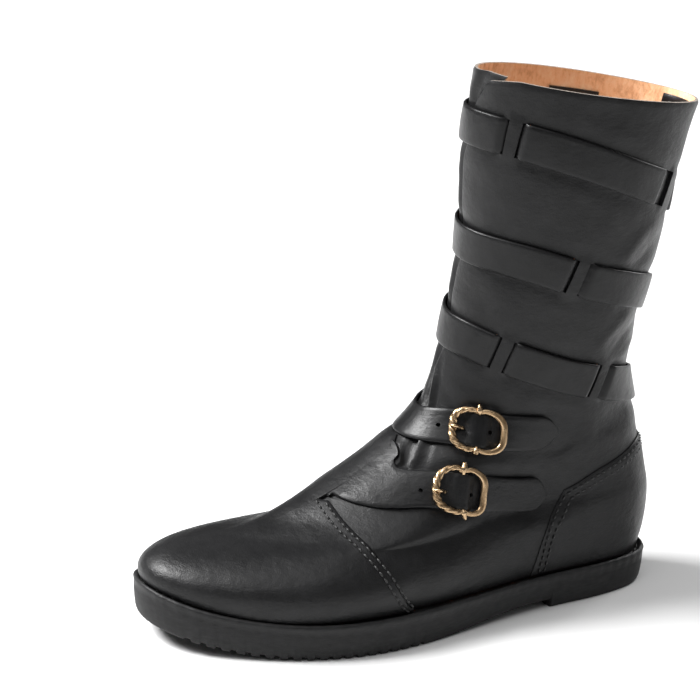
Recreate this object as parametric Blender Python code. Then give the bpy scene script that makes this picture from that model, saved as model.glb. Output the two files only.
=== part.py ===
"""Mid-calf leather boot, left foot, wrapped by one long strap.

The upper is one hollow wall that closes in front: the lateral flap lies over
the medial flap. A strap winds down the shaft, dips under narrow bridges of
the wall and ends in the upper buckle. The vamp runs out into the lower strap.

Frame: metres, +Z up, toe towards -Y, lateral side towards +X. The origin is
the centre of the heel's flat bottom. "Share" columns hold fractions of
SOLE_LENGTH (measured from the heel's back), SOLE_WIDTH or BOOT_HEIGHT.
"""
import math

import bmesh
import bpy
import numpy as np
from mathutils.bvhtree import BVHTree

# Driving sizes
SOLE_LENGTH = 0.302
SOLE_WIDTH = 0.106
BOOT_HEIGHT = 0.301
HEEL_LENGTH = 0.075
HEEL_STEP = 0.0046
OUTSOLE_THICK = 0.0140
MIDSOLE_THICK = 0.0052
MIDSOLE_LIP = 0.0008
MIDSOLE_BULGE = 0.0005
EDGE_TAPER = 0.0014
TOE_SPRING = 0.0130
TREAD_PITCH = 0.0068
TREAD_DEPTH = 0.0012
INSOLE_THICK = 0.0025
WALL = 0.0020
FEATHER_INSET = 0.0055
STRAP_WIDTH = 0.0196
STRAP_THICK = 0.0019
VAMP_THICK = 0.0017
COUNTER_THICK = 0.0013
LINING_PATCH_THICK = 0.0014
BRIDGE_LENGTH = 0.0066
BRIDGE_THICK = 0.0016
SLOT_LENGTH = 0.0037
BACK_BRIDGE_LENGTH = 0.0112
BACK_SLOT_LENGTH = 0.0120
FLAP_OVERLAP_DEG = 16.0
BUCKLE_LENGTH = 0.0292
BUCKLE_HEIGHT = 0.0264
BUCKLE_WIRE = 0.0030
BAR_WIRE = 0.0022
PRONG_WIRE = 0.0022

# Clearances
GAP = 0.0003
STRAP_LIFT = 0.0006
STRAP_SIDE_GAP = 0.0005
PLATE_GAP = 0.0008

HEEL_BACK_Y = HEEL_LENGTH / 2
SPRING_START = 0.62
SPRING_POWER = 3.4
SOLE_TOP = OUTSOLE_THICK + GAP + MIDSOLE_THICK

# Sole outline: share of the length, half widths as shares of the width
OUTLINE_COLUMNS = ("share", "lateral", "medial")
OUTLINE = (
    (0.010, 0.134, 0.130),
    (0.040, 0.234, 0.229),
    (0.100, 0.300, 0.301),
    (0.170, 0.336, 0.332),
    (0.250, 0.360, 0.326),
    (0.360, 0.420, 0.302),
    (0.480, 0.500, 0.318),
    (0.600, 0.560, 0.386),
    (0.700, 0.550, 0.444),
    (0.800, 0.470, 0.462),
    (0.880, 0.356, 0.430),
    (0.940, 0.244, 0.368),
    (0.985, 0.092, 0.236),
)
TIP_X = -0.066

# Foot sections, low to high. Each is a ring round the foot: where its back
# and front lie, how far it follows the toe spring, and its half widths at
# five places from heel to toe on either side.
RING_ANGLES = (30, 60, 90, 120, 150)
FOOT_COLUMNS = (
    "back_share", "back_height", "front_x", "front_share", "front_height", "follow",
    "lateral_30", "lateral_60", "lateral_90", "lateral_120", "lateral_150",
    "medial_30", "medial_60", "medial_90", "medial_120", "medial_150",
)
FOOT = (
    (0.006, 0.113, -0.061, 0.987, 0.130, 0.85,
     0.236, 0.325, 0.472, 0.486, 0.236, 0.250, 0.297, 0.292, 0.396, 0.325),
    (0.004, 0.163, -0.066, 0.950, 0.154, 0.35,
     0.245, 0.330, 0.425, 0.406, 0.151, 0.255, 0.302, 0.292, 0.325, 0.250),
    (0.012, 0.213, -0.061, 0.820, 0.171, 0.00,
     0.236, 0.302, 0.363, 0.396, 0.104, 0.245, 0.278, 0.288, 0.274, 0.165),
    (0.022, 0.259, -0.042, 0.672, 0.223, 0.00,
     0.208, 0.292, 0.325, 0.349, 0.170, 0.212, 0.283, 0.297, 0.283, 0.203),
    (0.032, 0.306, -0.024, 0.556, 0.292, 0.00,
     0.179, 0.283, 0.316, 0.316, 0.198, 0.179, 0.278, 0.307, 0.302, 0.198),
)
# Shaft sections: oval rings from the instep to the collar
SHAFT_COLUMNS = ("back_share", "back_height", "front_share", "front_height", "centre_x", "half_width")
SHAFT = (
    (0.044, 0.359, 0.474, 0.372, 0.005, 0.328),
    (0.070, 0.445, 0.435, 0.498, 0.028, 0.354),
    (0.053, 0.598, 0.419, 0.664, 0.075, 0.382),
    (0.019, 0.807, 0.432, 0.870, 0.132, 0.382),
    (-0.003, 0.930, 0.424, 1.000, 0.165, 0.368),
)
# Levels at which the upper's rings are cut, as shares of the way up the wall
UPPER_LEVELS = (
    0.0, 0.024, 0.056, 0.094, 0.14, 0.188, 0.235, 0.285, 0.335,
    0.352, 0.372, 0.405, 0.445, 0.49, 0.54, 0.60, 0.66, 0.73, 0.80, 0.87, 0.94, 1.0,
)
THROAT_LEVEL = 0.335
# Front edge of the lateral flap: level and angle round the wall
FLAP_COLUMNS = ("level", "angle")
FLAP_EDGE = (
    (0.0, 150.0), (0.335, 150.0), (0.36, 154.0), (0.405, 164.0), (0.445, 175.0), (0.49, 184.0),
    (0.60, 187.0), (0.85, 187.0), (0.96, 182.0), (1.0, 173.0),
)
# Rounded top corner of the lateral flap: how far each column's top is dropped
CORNER_DROP = (0.034, 0.016, 0.006)
AROUND_COLUMNS = 35
DIP_START_DEG = 14.0

# Wrapping strap, from its start behind the medial side down to the buckle:
# turned angle (falling as the strap runs front to back on the lateral side)
WRAP_COLUMNS = ("angle", "level")
WRAP = (
    (318.0, 0.905), (270.0, 0.912), (225.0, 0.912), (195.0, 0.910), (145.0, 0.908), (119.0, 0.900),
    (97.0, 0.887), (73.0, 0.868), (44.0, 0.848), (0.0, 0.822), (-60.0, 0.775), (-110.0, 0.735),
    (-159.0, 0.710), (-192.0, 0.704), (-238.0, 0.699), (-261.0, 0.689), (-289.0, 0.679),
    (-320.0, 0.668), (-360.0, 0.650), (-420.0, 0.612), (-470.0, 0.580), (-515.0, 0.560),
    (-533.0, 0.554), (-562.0, 0.549), (-588.0, 0.538), (-612.0, 0.525), (-631.0, 0.512),
    (-653.0, 0.499), (-702.0, 0.467), (-740.0, 0.447), (-780.0, 0.428), (-830.0, 0.412),
    (-875.0, 0.408), (-917.0, 0.412), (-932.0, 0.415), (-950.0, 0.412), (-970.0, 0.405),
    (-994.0, 0.397),
)
WRAP_START = 318.0
WRAP_END = -994.0
# Middle of each bridge of leather that the wrapping strap dips under
BRIDGE_ANGLES = (226.0, 145.0, -133.0, -261.0, -431.0, -588.0, -653.0, -838.0)
BACK_BRIDGE_ANGLE = 37.0
START_SLOT_ANGLE = 305.0
UPPER_BUCKLE_ANGLE = -950.0

# Lower strap: it leaves the vamp on the lateral side and ends in a point
LOWER_COLUMNS = ("angle", "level")
LOWER_STRAP = ((146.0, 0.303), (134.0, 0.303), (115.0, 0.290), (93.0, 0.252), (71.0, 0.205))
LOWER_START = 140.0
LOWER_END = 71.0
LOWER_BUCKLE_ANGLE = 115.0

# Side outlines of the vamp and the counter: shares of the sole's length from
# the heel's back and of the boot's height
VAMP_LATERAL = (
    (0.575, 0.030), (0.597, 0.098), (0.634, 0.146), (0.658, 0.184), (0.672, 0.214), (0.660, 0.231),
    (0.560, 0.231), (0.500, 0.231), (0.470, 0.245), (0.480, 0.285), (0.520, 0.290), (0.537, 0.302),
    (0.520, 0.312), (0.490, 0.316), (0.530, 0.322), (1.050, 0.300), (1.050, 0.030),
)
VAMP_MEDIAL = (
    (0.420, 0.030), (0.415, 0.140), (0.435, 0.215), (0.455, 0.275), (0.492, 0.314), (0.534, 0.325),
    (1.070, 0.296), (1.070, 0.024),
)
COUNTER_SIDE = (
    (-0.080, 0.030), (0.262, 0.030), (0.258, 0.110), (0.243, 0.175), (0.222, 0.222), (0.150, 0.257),
    (0.095, 0.268), (0.050, 0.281), (-0.080, 0.281),
)


def natural_spline(knots, values, at):
    """Natural cubic spline through rows of values, read at the given places."""
    knots = np.asarray(knots, float)
    values = np.asarray(values, float)
    count = len(knots)
    step = np.diff(knots)
    slope = np.diff(values, axis=0) / step.reshape((-1,) + (1,) * (values.ndim - 1))
    system = np.eye(count)
    right = np.zeros_like(values)
    for i in range(1, count - 1):
        system[i, i - 1:i + 2] = (step[i - 1], 2 * (step[i - 1] + step[i]), step[i])
        right[i] = 6 * (slope[i] - slope[i - 1])
    bend = np.linalg.solve(system, right)
    at = np.atleast_1d(np.asarray(at, float))
    i = np.clip(np.searchsorted(knots, at) - 1, 0, count - 2)
    shape = (-1,) + (1,) * (values.ndim - 1)
    t = (at - knots[i]).reshape(shape)
    h = step[i].reshape(shape)
    cubic = (bend[i + 1] - bend[i]) / (6 * h) * t ** 3 + bend[i] / 2 * t ** 2
    return cubic + (slope[i] - h * (2 * bend[i] + bend[i + 1]) / 6) * t + values[i]


def smooth(x):
    """Soft step from 0 to 1."""
    x = min(max(x, 0.0), 1.0)
    return x * x * (3 - 2 * x)


def toe_rise(share):
    """Rise of the toe spring, 0 under the ball and 1 at the tip."""
    past = np.clip((np.asarray(share, float) - SPRING_START) / (1 - SPRING_START), 0, None)
    return past ** SPRING_POWER


def sole_half_width(share, side):
    """Sole's edge on the lateral (+1) or medial (-1) side, in metres from the middle line."""
    angles = [0.0] + [math.acos(1 - 2 * row[0]) for row in OUTLINE] + [math.pi]
    column = 1 if side > 0 else 2
    edge = [0.0] + [side * row[column] for row in OUTLINE] + [TIP_X]
    angle = np.arccos(np.clip(1 - 2 * np.asarray(share, float), -1, 1))
    return natural_spline(angles, edge, angle) * SOLE_WIDTH


def feather_row():
    """Lowest ring of the upper: it follows the sole's edge, set in from it."""
    back = FEATHER_INSET * 0.8 / SOLE_LENGTH
    front = 1 - FEATHER_INSET / SOLE_LENGTH
    height = (SOLE_TOP + GAP) / BOOT_HEIGHT
    rise = TOE_SPRING * toe_rise(front) / BOOT_HEIGHT
    shares = [back + (front - back) * (1 - math.cos(math.radians(a))) / 2 for a in RING_ANGLES]
    ends = []
    for side in (1, -1):
        for share in shares:
            near = [side * sole_half_width(share + d, side)[0] for d in (-0.01, 0.0, 0.01)]
            slope = (near[2] - near[0]) / (0.02 * SOLE_LENGTH)
            ends.append((near[1] - FEATHER_INSET * math.hypot(1.0, slope)) / SOLE_WIDTH)
    return [back, height, TIP_X, front, height + rise, 1.0] + ends


def ring_rows():
    """All rings in one layout: ends of the ring, then x at the ring angles."""
    rows = []
    for row in [feather_row()] + [list(r) for r in FOOT]:
        back, back_z, front_x, front, front_z, follow = row[:6]
        lateral = row[6:11]
        medial = [-w for w in row[11:16]]
        rows.append([0.0, back, back_z, front_x, front, front_z, follow] + lateral + medial)
    for back, back_z, front, front_z, centre, half in SHAFT:
        swell = [half * math.sin(math.radians(a)) for a in RING_ANGLES]
        lateral = [centre + w for w in swell]
        medial = [centre - w for w in swell]
        rows.append([centre, back, back_z, centre, front, front_z, 0.0] + lateral + medial)
    return np.array(rows)


def row_levels(rows):
    """Share of the way up the wall at which each ring sits."""
    size = np.array([SOLE_LENGTH, BOOT_HEIGHT])
    back = np.linalg.norm(np.diff(rows[:, 1:3] * size, axis=0), axis=1)
    front = np.linalg.norm(np.diff(rows[:, 4:6] * size, axis=0), axis=1)
    way = np.concatenate(([0.0], np.cumsum(back + front)))
    return way / way[-1]


RINGS = ring_rows()
RING_LEVELS = row_levels(RINGS)
RING_NODES = np.radians((0,) + RING_ANGLES + (180,))


def wall_point(angle, level):
    """Point of the wall's outer face. Angle in degrees: 0 back, 90 lateral, 180 front, 270 medial."""
    ring = natural_spline(RING_LEVELS, RINGS, level)[0]
    back_x, back, back_z, front_x, front, front_z, follow = ring[:7]
    turned = math.radians(angle % 360.0)
    lateral = turned <= math.pi
    inner = ring[7:12] if lateral else ring[12:17]
    nodes = np.concatenate(([back_x], inner, [front_x]))
    place = turned if lateral else 2 * math.pi - turned
    x = natural_spline(RING_NODES, nodes, place)[0]
    along = (1 - math.cos(place)) / 2
    share = back + (front - back) * along
    end_rise = max(float(toe_rise(front)), 1e-6)
    spring = min(float(toe_rise(share)) / end_rise, 1.0)
    height = back_z + (front_z - back_z) * ((1 - follow) * along + follow * spring)
    return np.array([x * SOLE_WIDTH, HEEL_BACK_Y - share * SOLE_LENGTH, height * BOOT_HEIGHT])


def wall_frame(angle, level):
    """Point, outward normal and the two slopes of the wall at one place."""
    da = 1.0
    dl = 0.004
    low = max(level - dl, 0.0)
    high = min(level + dl, 1.0)
    point = wall_point(angle, level)
    round_slope = (wall_point(angle + da, level) - wall_point(angle - da, level)) / (2 * da)
    up_slope = (wall_point(angle, high) - wall_point(angle, low)) / (high - low)
    normal = np.cross(round_slope, up_slope)
    normal = normal / np.linalg.norm(normal)
    return point, -normal, round_slope, up_slope


def wall_offset(angle, level, lift):
    """Point at a height above the wall's outer face, kept clear of the sole."""
    point, normal, _, _ = wall_frame(angle, level)
    point = point + normal * lift
    share = (HEEL_BACK_Y - point[1]) / SOLE_LENGTH
    point[2] = max(point[2], SOLE_TOP + GAP + TOE_SPRING * float(toe_rise(share)))
    return point


class Path:
    """A line on the wall, read by its length in metres."""

    def __init__(self, table, start, end):
        turned = np.array([row[0] for row in table])
        level = np.array([row[1] for row in table])
        flip = turned[0] > turned[-1]
        self.knots = -turned if flip else turned
        self.sign = -1 if flip else 1
        self.level = level
        self.angles = np.linspace(start, end, 400)
        points = np.array([wall_point(a, self.level_at(a)) for a in self.angles])
        steps = np.linalg.norm(np.diff(points, axis=0), axis=1)
        self.way = np.concatenate(([0.0], np.cumsum(steps)))
        self.length = self.way[-1]

    def level_at(self, angle):
        return natural_spline(self.knots, self.level, self.sign * angle)[0]

    def way_at(self, angle):
        order = np.argsort(self.angles)
        return float(np.interp(angle, self.angles[order], self.way[order]))

    def place(self, way, across, lift):
        """Point at a length along, a distance across (up is positive) and a height above the wall."""
        angle = float(np.interp(way, self.way, self.angles))
        if way < 0 or way > self.length:
            rate = (self.angles[-1] - self.angles[0]) / self.length
            angle = self.angles[0] + way * rate if way < 0 else self.angles[-1] + (way - self.length) * rate
        level = self.level_at(angle)
        _, normal, round_slope, up_slope = wall_frame(angle, level)
        da = 0.5
        ahead = wall_point(angle + da, self.level_at(angle + da))
        behind = wall_point(angle - da, self.level_at(angle - da))
        tangent = ahead - behind
        side = np.cross(tangent, normal)
        side = side / np.linalg.norm(side)
        if side[2] < 0:
            side = -side
        slopes = np.array([round_slope, up_slope]).T
        move = np.linalg.lstsq(slopes, side * across, rcond=None)[0]
        return wall_offset(angle + move[0], level + move[1], lift)


def material(name, colour, roughness, metallic):
    """Plain surface with a colour, roughness and metallic value."""
    made = bpy.data.materials.new(name)
    made.use_nodes = True
    shader = made.node_tree.nodes["Principled BSDF"]
    shader.inputs["Base Color"].default_value = (*colour, 1.0)
    shader.inputs["Roughness"].default_value = roughness
    shader.inputs["Metallic"].default_value = metallic
    return made


def new_object(name, points, faces, surface):
    """Mesh object from points and faces, with its faces turned outwards."""
    mesh = bpy.data.meshes.new(name)
    mesh.from_pydata([tuple(p) for p in points], [], faces)
    edit = bmesh.new()
    edit.from_mesh(mesh)
    bmesh.ops.recalc_face_normals(edit, faces=edit.faces)
    bmesh.ops.triangulate(edit, faces=edit.faces)
    edit.to_mesh(mesh)
    edit.free()
    if surface is not None:
        mesh.materials.append(surface)
        mesh.shade_smooth()
        mesh.set_sharp_from_angle(angle=math.radians(40))
    made = bpy.data.objects.new(name, mesh)
    bpy.context.scene.collection.objects.link(made)
    return made


def cutter(name, points, faces):
    """Hidden helper solid for a Boolean."""
    made = new_object(name, points, faces, None)
    made.hide_render = True
    made.display_type = "WIRE"
    return made


def combine(target, tool, operation, solver="EXACT"):
    """Boolean of one object by another, kept as a modifier."""
    change = target.modifiers.new(tool.name, "BOOLEAN")
    change.operation = operation
    change.solver = solver
    change.object = tool


def grid_faces(rows, columns, index):
    """Quads between neighbouring rows and columns."""
    faces = []
    for i in range(rows - 1):
        for j in range(columns - 1):
            quad = (index(i, j), index(i, j + 1), index(i + 1, j + 1), index(i + 1, j))
            if len(set(quad)) > 2:
                faces.append(tuple(dict.fromkeys(quad)))
    return faces


def slab(low, high):
    """Closed solid between two grids of points with the same rows and columns."""
    low = np.asarray(low)
    high = np.asarray(high)
    rows, columns = low.shape[:2]
    count = rows * columns
    points = np.concatenate((low.reshape(-1, 3), high.reshape(-1, 3)))
    faces = grid_faces(rows, columns, lambda i, j: i * columns + j)
    faces += [tuple(reversed(f)) for f in grid_faces(rows, columns, lambda i, j: count + i * columns + j)]
    rim = [(0, j) for j in range(columns)] + [(i, columns - 1) for i in range(1, rows)]
    rim += [(rows - 1, j) for j in range(columns - 2, -1, -1)] + [(i, 0) for i in range(rows - 2, 0, -1)]
    for (i, j), (k, m) in zip(rim, rim[1:] + rim[:1]):
        a = i * columns + j
        b = k * columns + m
        faces.append((a, b, count + b, count + a))
    return points, faces


def tube(centres, radii, sides, closed, normals):
    """Round wire along points, with flat ends when it is open."""
    centres = np.asarray(centres)
    count = len(centres)
    points = []
    for i in range(count):
        ahead = centres[(i + 1) % count] if closed or i < count - 1 else centres[i]
        behind = centres[i - 1] if closed or i > 0 else centres[i]
        tangent = (ahead - behind) / np.linalg.norm(ahead - behind)
        up = normals[i] - tangent * np.dot(normals[i], tangent)
        up = up / np.linalg.norm(up)
        side = np.cross(tangent, up)
        for k in range(sides):
            turn = 2 * math.pi * (k + 0.5) / sides
            points.append(centres[i] + radii[i] * (math.cos(turn) * up + math.sin(turn) * side))
    faces = []
    for i in range(count if closed else count - 1):
        n = (i + 1) % count
        for k in range(sides):
            m = (k + 1) % sides
            faces.append((i * sides + k, i * sides + m, n * sides + m, n * sides + k))
    if not closed:
        faces.append(tuple(range(sides)))
        faces.append(tuple((count - 1) * sides + k for k in range(sides)))
    return points, faces


def sole_shares(treads):
    """Places along the sole at which its edge has points, with the tread's bars when asked."""
    shares = [(1 - math.cos(math.pi * k / 24)) / 2 for k in range(1, 24)]
    breast = HEEL_LENGTH / SOLE_LENGTH
    run = 0.0012 / SOLE_LENGTH
    if not treads:
        return [(s, 0.0) for s in shares]
    first = 0.53
    last = 0.975
    plain = [s for s in shares if s < first - 0.01 and abs(s - breast) > 0.015]
    rows = [(s, 0.0) for s in plain] + [(breast - run / 2, 0.0), (breast + run / 2, 0.0)]
    pitch = TREAD_PITCH / SOLE_LENGTH
    bar = 0.55 * pitch
    count = int((last - first) / pitch)
    for k in range(count):
        start = first + k * pitch
        rows += [(start, 0.0), (start + bar, 0.0), (start + (bar + pitch) / 2, TREAD_DEPTH)]
    rows += [(first + count * pitch, 0.0), (0.994, 0.0)]
    return sorted(rows)


def sole_loop(rows, inset, height):
    """Loop of points round the sole: heel's back, lateral side, toe, medial side."""
    centre = np.array([0.0, HEEL_BACK_Y - SOLE_LENGTH / 2])
    back = np.array([0.0, HEEL_BACK_Y])
    toe = np.array([TIP_X * SOLE_WIDTH, HEEL_BACK_Y - SOLE_LENGTH])
    lateral = []
    medial = []
    for share, _ in rows:
        y = HEEL_BACK_Y - share * SOLE_LENGTH
        lateral.append((sole_half_width(share, 1)[0], y))
        medial.append((sole_half_width(share, -1)[0], y))
    loop = np.array([back] + lateral + [toe] + medial[::-1])
    ahead = np.roll(loop, -1, axis=0) - np.roll(loop, 1, axis=0)
    normal = np.stack((-ahead[:, 1], ahead[:, 0]), axis=1)
    normal /= np.linalg.norm(normal, axis=1)[:, None]
    if np.sum(normal * (loop - centre)) < 0:
        normal = -normal
    moved = loop - normal * inset
    dips = [0.0] + [d for _, d in rows] + [0.0] + [d for _, d in rows[::-1]]
    result = []
    for (x, y), (_, own_y), dip in zip(moved, loop, dips):
        share = (HEEL_BACK_Y - own_y) / SOLE_LENGTH
        moved_share = (HEEL_BACK_Y - y) / SOLE_LENGTH
        slide = TOE_SPRING * float(toe_rise(moved_share) - toe_rise(share))
        result.append((x, y, height(share, dip) + slide))
    return result


def stacked(loops, rows):
    """Closed solid from loops of equal length: sides between them, both ends crossed by strips."""
    size = len(loops[0])
    points = [p for loop in loops for p in loop]
    faces = []
    for k in range(len(loops) - 1):
        for i in range(size):
            n = (i + 1) % size
            faces.append((k * size + i, k * size + n, (k + 1) * size + n, (k + 1) * size + i))
    last = (len(loops) - 1) * size
    for base in (0, last):
        faces.append((base, base + 1, base + size - 1))
        for i in range(1, rows):
            faces.append((base + i, base + i + 1, base + size - i - 1, base + size - i))
        faces.append((base + rows, base + rows + 1, base + rows + 2))
    return points, faces


def arch_height(share):
    """Bottom of the outsole: flat heel, breast step, low arch, flat ball, toe spring."""
    breast = HEEL_LENGTH / SOLE_LENGTH
    if share < breast:
        return 0.0
    if share < SPRING_START:
        return HEEL_STEP * (1 - smooth((share - 0.30) / 0.24))
    return TOE_SPRING * float(toe_rise(share))


def outsole(surface):
    rows = sole_shares(True)

    def bottom(share, dip):
        return arch_height(share) + dip

    def low_side(share, dip):
        return arch_height(share) + dip + 0.22 * OUTSOLE_THICK

    def top(share, dip):
        return OUTSOLE_THICK + TOE_SPRING * float(toe_rise(share))

    loops = (
        sole_loop(rows, EDGE_TAPER + 0.001, bottom),
        sole_loop(rows, EDGE_TAPER * 0.5, low_side),
        sole_loop(rows, 0.0, top),
    )
    points, faces = stacked(loops, len(rows))
    return new_object("outsole", points, faces, surface)


def midsole(surface):
    rows = sole_shares(False)
    base = OUTSOLE_THICK + GAP

    def at(extra):
        return lambda share, dip: base + extra + TOE_SPRING * float(toe_rise(share))

    loops = (
        sole_loop(rows, 0.0004, at(0.0)),
        sole_loop(rows, -MIDSOLE_BULGE, at(MIDSOLE_THICK * 0.45)),
        sole_loop(rows, 0.0004, at(MIDSOLE_THICK + MIDSOLE_LIP)),
        sole_loop(rows, 0.0012, at(MIDSOLE_THICK + MIDSOLE_LIP)),
        sole_loop(rows, 0.0022, at(MIDSOLE_THICK)),
    )
    points, faces = stacked(loops, len(rows))
    return new_object("midsole", points, faces, surface)


def insole(surface):
    rows = sole_shares(False)[1:-1]
    base = SOLE_TOP + GAP
    inset = FEATHER_INSET + WALL + 0.0022

    def at(extra):
        return lambda share, dip: base + extra + TOE_SPRING * float(toe_rise(share))

    loops = (sole_loop(rows, inset, at(0.0)), sole_loop(rows, inset, at(INSOLE_THICK)))
    points, faces = stacked(loops, len(rows))
    return new_object("insole", points, faces, surface)


def flap_angle(level):
    """Angle of the lateral flap's front edge at a level."""
    levels = [row[0] for row in FLAP_EDGE]
    angles = [row[1] for row in FLAP_EDGE]
    return float(np.interp(level, levels, angles))


def upper_columns(level, split):
    """Angle, inward push and top drop of each column of the wall at one level."""
    edge = flap_angle(level)
    rise = level - THROAT_LEVEL if split else 0.0
    opened = smooth(rise / 0.016)
    lapped = smooth((rise - 0.012) / 0.03)
    columns = []
    for k in range(AROUND_COLUMNS + 1):
        angle = edge - (360.0 - DIP_START_DEG) * k / AROUND_COLUMNS
        drop = CORNER_DROP[k] * smooth((level - 0.88) / 0.12) if k < len(CORNER_DROP) else 0.0
        columns.append((angle, 0.0, drop))
    closed_turn = (0.72, 0.46, 0.22, 0.0)
    open_turn = (8.0, 3.0, 1.5, 0.6)
    lap_turn = (8.0, 3.0, -FLAP_OVERLAP_DEG / 2, -FLAP_OVERLAP_DEG)
    push = (0.55, 1.0, 1.0, 1.0)
    for k in range(4):
        turn = DIP_START_DEG * closed_turn[k] * (1 - opened) + open_turn[k] * opened
        turn = turn * (1 - lapped) + lap_turn[k] * lapped
        columns.append((edge - 360.0 + turn, push[k] * opened * (WALL + GAP + 0.0002), 0.0))
    return columns


def upper_grid(levels, lift, split=True):
    """Grid of points of the wall at a lift from its outer face, split in front or closed."""
    grid = []
    for level in levels:
        row = []
        for angle, push, drop in upper_columns(level, split):
            row.append(wall_offset(angle, level - drop, lift - push))
        grid.append(row)
    return grid


def upper(surface):
    outer = upper_grid(UPPER_LEVELS, 0.0)
    inner = upper_grid(UPPER_LEVELS, -WALL)
    rows = len(UPPER_LEVELS)
    columns = len(outer[0])
    throat = UPPER_LEVELS.index(THROAT_LEVEL)
    count = rows * columns

    def index(i, j):
        return i * columns + (0 if j == columns - 1 and i <= throat else j)

    points = [p for row in outer for p in row] + [p for row in inner for p in row]
    faces = grid_faces(rows, columns, index)
    faces += grid_faces(rows, columns, lambda i, j: count + index(i, j))
    edges = [(index(0, j), index(0, j + 1)) for j in range(columns - 1)]
    edges += [(index(rows - 1, j), index(rows - 1, j + 1)) for j in range(columns - 1)]
    for i in range(throat, rows - 1):
        edges.append((index(i, 0), index(i + 1, 0)))
        edges.append((index(i, columns - 1), index(i + 1, columns - 1)))
    faces += [(a, b, count + b, count + a) for a, b in edges]
    used = sorted({v for f in faces for v in f})
    renumber = {v: k for k, v in enumerate(used)}
    kept = [points[v] for v in used]
    faces = [tuple(renumber[v] for v in f) for f in faces]
    return new_object("upper", kept, faces, surface)


def band_solid(name, levels, thick):
    """Shell over the wall's own facets, for the overlays to be cut from."""
    low = upper_grid(levels, GAP, False)
    high = upper_grid(levels, GAP + thick, False)
    rows = len(levels)
    columns = len(low[0]) - 1
    count = rows * columns

    def index(i, j):
        return i * columns + j % columns

    points = [p for row in low for p in row[:-1]] + [p for row in high for p in row[:-1]]
    faces = grid_faces(rows, columns + 1, index)
    faces += grid_faces(rows, columns + 1, lambda i, j: count + index(i, j))
    for i in (0, rows - 1):
        for j in range(columns):
            a = index(i, j)
            b = index(i, j + 1)
            faces.append((a, b, count + b, count + a))
    return points, faces


def side_prism(outline, x_low, x_high):
    """Prism across the boot from a side outline given in shares."""
    flat = [(HEEL_BACK_Y - s * SOLE_LENGTH, z * BOOT_HEIGHT) for s, z in outline]
    points = [(x_low, y, z) for y, z in flat] + [(x_high, y, z) for y, z in flat]
    size = len(flat)
    faces = [tuple(range(size)), tuple(range(size, 2 * size))]
    faces += [(i, (i + 1) % size, size + (i + 1) % size, size + i) for i in range(size)]
    return points, faces


def ribbon(path, stations, width, thick, lifts):
    """Flat strap along a path: a row of points at each station, with its own lift."""
    low = []
    high = []
    for way, half, lift in zip(stations, width, lifts):
        across = (-half, 0.0, half)
        low.append([path.place(way, c, lift) for c in across])
        high.append([path.place(way, c, lift + thick) for c in across])
    return slab(low, high)


def strap_lift(distance, reach, slot):
    """Lift of the strap near a bridge: sunk within reach, back on the wall past the slot."""
    past = min(max((distance - reach) / slot, 0.0), 1.0)
    return STRAP_LIFT - BRIDGE_SINK * (1 - past)


BRIDGE_SINK = STRAP_LIFT + 0.0015
BAR_LIFT = GAP + BAR_WIRE + GAP
BAR_RAMP = 0.0075
FRAME_POINTS = 24
FRAME_WAIST = 0.01
TIP_LENGTH = 0.012
LAY_REACH = 0.004
LAY_GAP = 0.0005


def bar_hump(distance):
    """Extra lift of a strap where it passes over a buckle's bar."""
    near = max(0.0, 1 - distance / BAR_RAMP)
    return (BAR_LIFT - STRAP_LIFT + GAP) * smooth(near * 1.35)


def tip_half_width(left):
    """Half width near the pointed end, by the length left to the end."""
    if left >= TIP_LENGTH:
        return STRAP_WIDTH / 2
    share = max(left, 0.0) / TIP_LENGTH
    return STRAP_WIDTH / 2 * max(0.10, math.sin(share * math.pi / 2) ** 0.8)


def strap_stations(path, marks, spacing):
    """Even steps along a path, with close steps around each marked place."""
    close = []
    for mark, offsets in marks:
        close += [mark + o for o in offsets]
    steps = list(np.linspace(0.0, path.length, int(path.length / spacing) + 1))
    far = [s for s in steps if all(abs(s - c) > spacing * 0.35 for c in close)]
    inside = [c for c in close if 0.0 <= c <= path.length]
    return sorted(far + inside)


def wall_skin(boot):
    """The wall's own facets, for the straps to be laid on."""
    mesh = boot.data
    return BVHTree.FromPolygons([v.co for v in mesh.vertices], [tuple(f.vertices) for f in mesh.polygons])


def laid(path, stations, halves, lifts, openings, skin):
    """Raise a strap's stations until its underside clears the wall's facets."""
    across = (-1.0, 0.0, 1.0)
    rows = np.array([[path.place(w, c * h, f) for c in across] for w, h, f in zip(stations, halves, lifts)])
    tops = np.array([[path.place(w, c * h, f + 0.001) for c in across] for w, h, f in zip(stations, halves, lifts)])
    ups = (tops - rows) / 0.001
    raised = np.zeros(len(stations))
    for _ in range(3):
        for i in range(len(stations) - 1):
            for t in np.linspace(0.0, 1.0, 9):
                way = stations[i] * (1 - t) + stations[i + 1] * t
                if any(abs(way - middle) < reach - 0.0004 for middle, reach in openings):
                    continue
                line = rows[i] * (1 - t) + rows[i + 1] * t
                up = ups[i] * (1 - t) + ups[i + 1] * t
                lift = raised[i] * (1 - t) + raised[i + 1] * t
                for c in np.linspace(0.0, 2.0, 9):
                    k = min(int(c), 1)
                    normal = up[k] * (1 - c + k) + up[k + 1] * (c - k)
                    normal = normal / np.linalg.norm(normal)
                    point = line[k] * (1 - c + k) + line[k + 1] * (c - k)
                    hit = skin.ray_cast(point + normal * LAY_REACH, -normal, 2 * LAY_REACH)
                    if hit[3] is not None:
                        lack = LAY_REACH - hit[3] + LAY_GAP - lift
                        if lack > 0:
                            raised[i] += lack
                            raised[i + 1] += lack
                            lift += lack
    return [f + r for f, r in zip(lifts, raised)]


def ride_height(stations, lifts, middle):
    """Height of the strap's underside beside a buckle's bar."""
    beside = [f for w, f in zip(stations, lifts) if BAR_RAMP < abs(w - middle) < BUCKLE_LENGTH / 2 + 0.006]
    return max(beside)


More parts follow.
